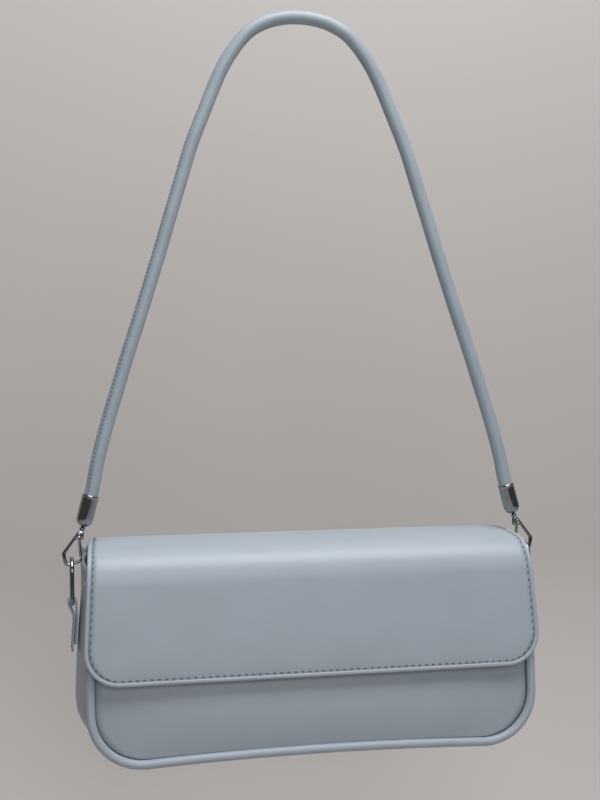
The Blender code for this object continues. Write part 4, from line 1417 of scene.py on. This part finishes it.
@dataclass
class Body:
    """The bag's body: front, back, gusset and the piping round both panels."""

    leather: bpy.types.Material
    thickness: float = 0.0012
    recess: float = 0.0008
    gap: float = 0.0003
    pillow: float = 0.0030
    pillow_top: float = 0.0020
    gusset_drop: float = 0.0075
    hem_extra: float = 0.0007
    hem_depth: float = 0.0060
    hem_slope: float = 6.0
    edge: float = 0.0002
    piping_pitch: float = 0.0025
    gusset_pitch: float = 0.001
    gusset_lines: int = 25
    gusset_stations: int = 241

    def _panel(self, name: str, top: float, rows: int, columns: int, front: bool) -> bpy.types.Object:
        """Fill a panel between its piping: a grid with square-cut edges, lifted by the arch.

        Args:
            name: Which panel it is, front or back.
            top: Height of its upper edge.
            rows: How many rows of points it has.
            columns: How many points are in a row.
            front: Whether it follows the leaning front and swells.

        Returns:
            The panel.
        """
        form = FORM
        inset = form.piping + self.gap
        half, heights = form.rows(form.piping_half - inset, form.piping_corner - inset, top,
                                  form.piping_bottom_z + inset, rows)
        across = np.linspace(-1.0, 1.0, columns)
        x = half[:, None] * across
        z = heights[:, None] + form.lift(x, heights[:, None])
        start = form.hem_z + self.pillow_top
        share = np.clip((start - heights) / (start - form.piping_bottom_z), 0.0, 1.0)
        swell = self.pillow * np.sin(math.pi * share)[:, None] * (1 - across ** 4)
        y = form.piping_y(heights)[:, None] + self.recess - swell if front else np.full_like(x, form.back_y)
        inner = y + self.thickness if front else y - self.thickness
        faces = [np.stack([x, depth, z], axis=-1) for depth in (y, inner)]
        panel = slab(*faces, self.edge)
        return panel.piece(f"{name}_leather", self.leather, "bag", "leather", f"{name}_panel")

    def make_front(self) -> bpy.types.Object:
        """The front, swollen below the flap by a sine in height."""
        return self._panel("front", FORM.front_top_z, 60, 61, True)

    def make_back(self) -> bpy.types.Object:
        """The flat back."""
        return self._panel("back", FORM.back_piping_top_z, 50, 41, False)

    def make_piping(self) -> list[bpy.types.Object]:
        """Sweep a round section along each panel's edge.

        Returns:
            The front and the back piping.
        """
        form, made = FORM, []
        for name, top in (("front", form.front_top_z), ("back", form.back_piping_top_z)):
            x, z = form.u_path(form.piping_half, form.piping_corner, top, form.piping_bottom_z,
                               self.piping_pitch).T
            y = form.piping_y(z) if name == "front" else np.full(len(z), form.back_y - self.thickness / 2)
            path = np.column_stack([x, y, z + form.lift(x, z)])
            tube = sweep(path, circle(form.piping, 24), np.array([0.0, -1.0, 0.0]))
            nodes = f"{name}_piping_cover"
            made.append(tube.piece(f"{name}_piping_leather", self.leather, "bag", "leather", nodes))
        return made

    def make_gusset(self) -> bpy.types.Object:
        """Run a strip down one side, under the floor and up the other.

        Half way between its edges it swells outwards by a parabola times the bulge at that height,
        and near both its ends it is thicker, where its edge is turned in.

        Returns:
            The piece.
        """
        form = FORM
        clear = form.piping + self.gap
        back = form.back_y - self.thickness / 2 - clear
        top_y = float(form.piping_y(form.front_top_z)) + clear
        outer, inner = [], []
        for share in np.linspace(0.0, 1.0, self.gusset_lines):
            top = float(form.mouth_z(top_y + share * (back - top_y))) - self.gusset_drop
            path = form.u_path(form.piping_half, form.piping_corner, top, form.piping_bottom_z,
                               self.gusset_pitch)
            path = path[np.linspace(0, len(path) - 1, self.gusset_stations).round().astype(int)]
            x, z = path.T
            tangents = unit(np.gradient(path, axis=0))
            away = np.column_stack([tangents[:, 1], np.zeros(len(x)), -tangents[:, 0]])
            front = form.piping_y(z) + clear
            run = lengths(path)
            turned_in = np.clip(1 - np.minimum(run, run[-1] - run) / self.hem_depth, 0.0, 1.0)
            extra = self.hem_extra * np.minimum(turned_in * self.hem_slope, 1.0)
            line = np.column_stack([x, front + share * (back - front), z + form.lift(x, z)])
            line += away * (form.bulge(z) * 4 * share * (1 - share))[:, None]
            outer.append(line + away * (extra / 2)[:, None])
            inner.append(line - away * (self.thickness + extra / 2)[:, None])
        strip = slab(np.stack(outer, axis=1), np.stack(inner, axis=1), self.edge)
        return strip.piece("gusset_leather", self.leather, "bag", "leather", "gusset")


@dataclass
class Interior:
    """The cloth lining with its slip pocket."""

    cloth: bpy.types.Material
    thickness: float = 0.0005
    inset: float = 0.0012
    drop: float = 0.0080
    corner: float = 0.0080
    panel: float = 0.0012
    board: float = 0.0015
    gap: float = 0.0003
    recess: float = 0.0008
    pocket_edge: float = 0.0001
    floor_ease: int = 8
    pocket: tuple[float, float, float] = (0.1200, -0.338402, 0.0600)
    pocket_bulge: float = 0.0070

    def _ring(self, half: float, front: float, back: float) -> Array:
        """(x, y) points round a rectangle with round corners.

        Args:
            half: Half its width.
            front: Y of its front side.
            back: Y of its back side.

        Returns:
            The points in order.
        """
        turn = np.linspace(0.0, math.pi / 2, 9)
        middle, deep, points = (front + back) / 2, (back - front) / 2, []
        sides = [np.linspace(-1, 1, 25) * (half - self.corner), np.linspace(-1, 1, 9) * (deep - self.corner)]
        for quarter in range(4):
            width, reach = (half, deep) if quarter % 2 else (deep, half)
            side = sides[(quarter + 1) % 2][1:-1]
            straight = np.column_stack([np.full(len(side), reach), side])
            curve = np.column_stack([reach - self.corner + self.corner * np.cos(turn),
                                     width - self.corner + self.corner * np.sin(turn)])
            angle = quarter * math.pi / 2
            spin = np.array([[math.cos(angle), math.sin(angle)], [-math.sin(angle), math.cos(angle)]])
            points.append(np.vstack([straight, curve]) @ spin)
        return np.vstack(points) + [0.0, middle]

    def make_lining(self) -> bpy.types.Object:
        """Stack rounded rectangles down to the floor, which fills the last of them.

        Returns:
            The piece.
        """
        form = FORM
        half = form.piping_half - self.panel - self.inset
        floor = form.piping_bottom_z + self.panel + form.arch + 2 * self.gap + self.board
        corner = form.piping_corner - self.panel - self.inset
        widths, heights = form.rows(half, corner, form.front_top_z, floor, 26)
        keep = widths > widths[0] - corner * 0.999
        widths, heights = widths[keep], heights[keep]
        back = form.back_y - self.panel - self.inset
        layers = []
        for inside in (0.0, self.thickness):
            rings = []
            for width, height in zip(widths, heights):
                front = float(form.piping_y(height)) + self.recess + self.panel + self.inset
                ring = self._ring(width - inside, front + inside, back - inside)
                share = max(0.0, (height - floor - corner) / (form.front_top_z - floor - corner))
                z = height + share * (form.mouth_z(ring[:, 1]) - self.drop - form.front_top_z)
                z += inside * (1 - share) ** self.floor_ease
                rings.append(np.column_stack([ring, z]))
            layers.append(np.array(rings))
        rows, columns = layers[0].shape[:2]
        walls = grid(np.vstack([layers[0], layers[1][::-1]]), around=True, along=True)
        ring = np.arange(columns)
        between = slice((rows - 1) * columns, rows * columns)
        walls.faces[between] = [tuple((rows - 1) * columns + ring), tuple(rows * columns + ring[::-1])]
        return walls.outward().piece("lining_cloth", self.cloth, "bag", "lining_cloth", "lining")

    def make_pocket(self) -> bpy.types.Object:
        """Hang the pocket on the back lining, open at the top by a parabola that fades to its sides.

        Returns:
            The piece.
        """
        width, top, height = self.pocket
        rows, across = np.linspace(0.0, 1.0, 25), np.linspace(-1.0, 1.0, 33)
        wall = FORM.back_y - self.panel - self.inset - 2 * self.thickness - self.gap
        bulge = self.pocket_bulge * (1 - rows ** 2)[:, None] * (1 - across ** 4)
        x = np.broadcast_to(width / 2 * across, bulge.shape)
        z = np.broadcast_to((top - height * rows)[:, None], bulge.shape)
        faces = [np.stack([x, wall - bulge + depth, z], axis=-1) for depth in (0.0, self.thickness)]
        pocket = slab(*faces, self.pocket_edge)
        return pocket.piece("pocket_cloth", self.cloth, "bag", "lining_cloth", "slip_pocket")


@dataclass
class Flap:
    """The flap: a padded skin inside a raised rim, its lining, its stiffener and its stitches."""

    leather: bpy.types.Material
    inner: bpy.types.Material
    board: bpy.types.Material
    thread: bpy.types.Material
    rim_half: float = 0.0013
    rim_thick: float = 0.0034
    margin: float = 0.0026
    stiffener_margin: float = 0.0060
    puff: float = 0.00045
    puff_reach: float = 0.0030
    skin_thick: float = 0.0012
    rim_proud: float = 0.0005
    rim_pitch: float = 0.0012
    rim_power: float = 3.0
    lining_depth: float = 0.0021
    lining_thick: float = 0.0008
    stiffener_depth: float = 0.0014
    stiffener_thick: float = 0.0005
    stitch_in: float = 0.0034
    stitch_path_pitch: float = 0.0015
    rows: int = 110
    columns: int = 81

    def _blend(self, piece: bpy.types.Object, slot: str, *nodes: str) -> bpy.types.Object:
        """Bake a piece's transform into its mesh and stand for CAD nodes.

        Args:
            piece: The piece.
            slot: Not used.
            nodes: The CAD nodes that it stands for.

        Returns:
            The piece.
        """
        if nodes:
            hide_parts(*nodes)
        start, end = (tuple(FLAP.place(np.array(0.0), np.array(run))) for run in FLAP.bend)
        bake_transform(piece)
        return piece

    def _layer(self, margin: float, depth: float, thickness: float, puff: float = 0.0) -> Shell:
        """A layer of the flap that far inside its edge, at a depth under its outer surface.

        The outer face stands out by puff times one less an exponential of the distance to its edge.

        Args:
            margin: How far inside the flap's edge it ends.
            depth: How deep its outer face lies.
            thickness: How thick it is.
            puff: How far its middle stands out.

        Returns:
            The closed layer.
        """
        half, corner, hem = FORM.flap_half - margin, FORM.flap_corner - margin, FLAP.hem - margin
        widths, heights = FORM.rows(half, corner, 0.0, -hem, self.rows)
        x = widths[:, None] * np.linspace(-1.0, 1.0, self.columns)
        run = np.broadcast_to(-heights[:, None], x.shape)
        past_x, past_run = np.abs(x) - (half - corner), run - (hem - corner)
        in_corner = corner - np.hypot(np.maximum(past_x, 0.0), np.maximum(past_run, 0.0))
        near = np.where((past_x > 0) & (past_run > 0), in_corner, np.minimum(half - np.abs(x), hem - run))
        proud = puff * (1 - np.exp(-np.maximum(near, 0.0) / self.puff_reach))
        return slab(FLAP.place(x, run, depth - proud), FLAP.place(x, run, depth + thickness))

    def _edge_path(self, inside: float, pitch: float) -> tuple[Array, Array]:
        """X and run that far inside the flap's edge, from the back left round to the back right.

        Args:
            inside: How far inside the edge.
            pitch: How far apart the points are.

        Returns:
            X and run of each point.
        """
        half, corner, hem = FORM.flap_half - inside, FORM.flap_corner - inside, FLAP.hem - inside
        path = FORM.u_path(half, corner, 0.0, -hem, pitch)
        return path[:, 0], -path[:, 1]

    def make_skin(self) -> bpy.types.Object:
        """The outer leather of the flap's top and front in one sheet."""
        skin = self._layer(self.margin, 0.0, self.skin_thick, self.puff).build("flap_leather", self.leather)
        return self._blend(skin, "leather", "flap_top_outer", "flap_front_outer")

    def make_rim(self) -> bpy.types.Object:
        """Sweep the turned edge: a superellipse section along the flap's two sides and hem.

        Returns:
            The piece.
        """
        x, run = self._edge_path(self.rim_half, self.rim_pitch)
        path = FLAP.place(x, run, self.rim_thick / 2 - self.rim_proud)
        section = superellipse(self.rim_half, self.rim_thick / 2, 28, self.rim_power)
        rim = sweep(path, section, FLAP.lift(run)).build("flap_rim_leather", self.leather)
        nodes = ("flap_top_rim_left", "flap_top_rim_right", "flap_front_rim")
        return self._blend(rim, "leather", *nodes)

    def make_lining(self) -> bpy.types.Object:
        """The smooth leather that lines the flap.

        Returns:
            The piece.
        """
        lining = self._layer(self.margin, self.lining_depth, self.lining_thick)
        made = lining.build("flap_inner_leather", self.inner)
        return self._blend(made, "flap_lining", "flap_top_lining", "flap_front_lining")

    def make_stiffener(self) -> bpy.types.Object:
        """The thin board between the flap's leathers.

        Returns:
            The piece.
        """
        margin = self.margin + self.stiffener_margin
        board = self._layer(margin, self.stiffener_depth, self.stiffener_thick)
        made = board.build("flap_board", self.board)
        return self._blend(made, "board", "flap_top_stiffener", "flap_front_stiffener")

    def make_stitches(self) -> bpy.types.Object:
        """Sew along the skin just inside the rim.

        Returns:
            The piece.
        """
        x, run = self._edge_path(self.stitch_in, self.stitch_path_pitch)
        near = self.stitch_in - self.margin
        proud = self.puff * (1 - math.exp(-near / self.puff_reach))
        path = FLAP.place(x, run, np.full(len(run), -proud))
        beads = Seam().sew(path, FLAP.lift(run))
        return self._blend(beads.build("flap_stitches", self.thread), "leather")


@dataclass(frozen=True)
class Lamp:
    """A square area light that points at the middle of the bag."""

    name: str
    place: tuple[float, float, float]
    size: float
    power: float
    target: tuple[float, float, float] = (0.0, 0.0, -0.25)

    def make(self) -> None:
        """Add the light to the scene."""
        data = bpy.data.lights.new(self.name, "AREA")
        data.shape, data.size, data.energy = "SQUARE", self.size, self.power
        light = bpy.data.objects.new(self.name, data)
        bpy.context.scene.collection.objects.link(light)
        light.location = self.place
        light.rotation_euler = (Vector(self.target) - light.location).to_track_quat("-Z", "Y").to_euler()


@dataclass
class Studio:
    """The photograph's camera, a pale wall and floor, and soft light from the front."""

    eye: tuple[float, float, float] = (-0.1502, -0.7344, -0.2276)
    yaw: float = math.radians(11.39)
    pitch: float = math.radians(0.38)
    roll: float = math.radians(-0.78)
    lens: float = 57.05
    sensor: float = 36.0
    clip: Range = (0.01, 50.0)
    wall: Colour = (0.47, 0.45, 0.438)
    wall_levels: Range = (0.97, 1.03)
    wall_roughness: float = 0.9
    wall_y: float = 0.30
    wall_top: float = 2.0
    floor_z: float = -0.60
    floor_reach: float = 3.0
    cove: float = 0.25
    mist_scale: float = 1.5
    sky: Colour = (0.95, 0.97, 1.0)
    sky_strength: float = 0.09
    lamps: tuple[Lamp, ...] = (
        Lamp("key", (0.14, -0.42, 0.88), 0.9, 18.3),
        Lamp("fill", (0.0, -1.8, 0.3), 0.8, 8.0),
    )

    def make_camera(self) -> bpy.types.Object:
        """Place the camera at the photograph's angle and make it the scene's.

        Returns:
            The camera.
        """
        data = bpy.data.cameras.new("photo_camera")
        data.lens, data.sensor_width, data.sensor_fit = self.lens, self.sensor, "AUTO"
        data.clip_start, data.clip_end = self.clip
        sine, cosine = math.sin(self.yaw), math.cos(self.yaw)
        ahead = np.array([sine * math.cos(self.pitch), cosine * math.cos(self.pitch), math.sin(self.pitch)])
        level = np.array([cosine, -sine, 0.0])
        upright = np.cross(level, ahead)
        right = math.cos(self.roll) * level + math.sin(self.roll) * upright
        up = -math.sin(self.roll) * level + math.cos(self.roll) * upright
        matrix = Matrix.Identity(4)
        for column, axis in enumerate((right, up, -ahead, np.array(self.eye))):
            for row in range(3):
                matrix[row][column] = float(axis[row])
        camera = bpy.data.objects.new("photo_camera", data)
        bpy.context.scene.collection.objects.link(camera)
        camera.matrix_world = matrix
        bpy.context.scene.camera = camera
        return camera

    def make_room(self) -> list[bpy.types.Object]:
        """A floor that curves up into a wall behind the bag: a quarter circle between two planes.

        Seen from its far side it is clear, so that it never stands between a camera and the bag.

        Returns:
            The room's pieces.
        """
        radius, reach = self.cove, self.floor_reach
        turn = np.linspace(0.0, math.pi / 2, 17)
        y = np.concatenate([[-reach], self.wall_y - radius + radius * np.sin(turn), [self.wall_y]])
        z = np.concatenate([[self.floor_z], self.floor_z + radius - radius * np.cos(turn), [self.wall_top]])
        points = np.stack(np.broadcast_arrays([-reach, reach], y[:, None], z[:, None]), axis=-1)
        shade = Shade("backdrop")
        mist = shade.noise(self.mist_scale, 2.0)
        low, high = (solid(self.wall, level) for level in self.wall_levels)
        shade.set(Base_Color=shade.blend(mist, low, high), Roughness=self.wall_roughness)
        behind = shade.node("ShaderNodeNewGeometry", {}, {}, "Backfacing")
        clear = shade.node("ShaderNodeBsdfTransparent", {}, {})
        shown = Wire(shade, shade.shader.outputs[0])
        sides = shade.node("ShaderNodeMixShader", {}, {0: behind, 1: shown, 2: clear})
        shade.join(shade.tree.nodes["Material Output"].inputs["Surface"], sides)
        room = grid(points).build("backdrop", shade.material)
        return [room]

    def make_lights(self) -> None:
        """A large soft key overhead, a weak fill from the front and an even grey world, seen as the wall."""
        scene = bpy.context.scene
        scene.view_settings.view_transform = "Standard"
        world = bpy.data.worlds.new("soft_sky")
        world.use_nodes = True
        nodes, link = world.node_tree.nodes, world.node_tree.links.new
        background = nodes["Background"]
        background.inputs["Color"].default_value = solid(self.sky)
        background.inputs["Strength"].default_value = self.sky_strength
        seen, mix = nodes.new("ShaderNodeBackground"), nodes.new("ShaderNodeMixShader")
        seen.inputs["Color"].default_value = solid(self.wall)
        link(nodes.new("ShaderNodeLightPath").outputs["Is Camera Ray"], mix.inputs[0])
        link(background.outputs[0], mix.inputs[1])
        link(seen.outputs[0], mix.inputs[2])
        link(mix.outputs[0], nodes["World Output"].inputs["Surface"])
        scene.world = world
        for lamp in self.lamps:
            lamp.make()


def dress_hidden(frame: dict[str, Any], cord: bpy.types.Material, board: bpy.types.Material,
                 metal: bpy.types.Material) -> None:
    """Give the CAD nodes that stay in sight or inside the bag their finish.

    Args:
        cord: Finish of the cords inside strap and piping.
        board: Finish of the base board.
        metal: Finish of the snap.
    """
    finishes = {"strap_core": cord, "front_piping_cord": cord, "back_piping_cord": cord, "base_board": board,
                "snap_stud": metal, "snap_socket": metal, "snap_washer": metal}
    for name, material in finishes.items():
        node = frame["nodes"][name]
        node.data.materials.clear()
        node.data.materials.append(material)


def main() -> None:
    """Build camera, strap, hardware, body, interior and flap in order, and report each."""
    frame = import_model()
    studio = Studio()
    studio.make_camera()
    metal, leather, thread = METAL.make("plated_metal"), SKIN.make("leather"), THREAD_WITH_HOLE_SHADE.make("thread")
    cloth, cord, board = CLOTH.make("lining_cloth"), CORD.make("core_cord"), BOARD.make("board")
    ends = [EndCap(side, metal) for side in Side]
    caps = [end.make_cap() for end in ends]
    strap = Strap().make(caps)
    LOG.info("strap: %s with %d points", strap.name, len(strap.data.vertices))
    made = [end.make_post() for end in ends]
    for side in Side:
        hook = SnapHook(side, metal)
        made += [hook.make_frame(), hook.make_pin(), hook.make_gate()]
        link = RingTab(side, metal, leather, thread)
        made += [link.make_ring(), *link.make_tab()]
    body = Body(leather)
    made += [body.make_front(), body.make_back(), *body.make_piping(), body.make_gusset()]
    interior = Interior(cloth)
    made += [interior.make_lining(), interior.make_pocket()]
    flap = Flap(leather, INNER_SKIN.make("flap_inner"), board, thread)
    made += [flap.make_skin(), flap.make_rim(), flap.make_lining(), flap.make_stiffener()]
    made += [flap.make_stitches()]
    for piece in made:
        LOG.info("%s: %d points", piece.name, len(piece.data.vertices))
    dress_hidden(frame, cord, board, metal)
    studio.make_room()
    studio.make_lights()


if __name__ == "__main__":
    logging.basicConfig(level=logging.INFO, format="%(message)s")
    main()
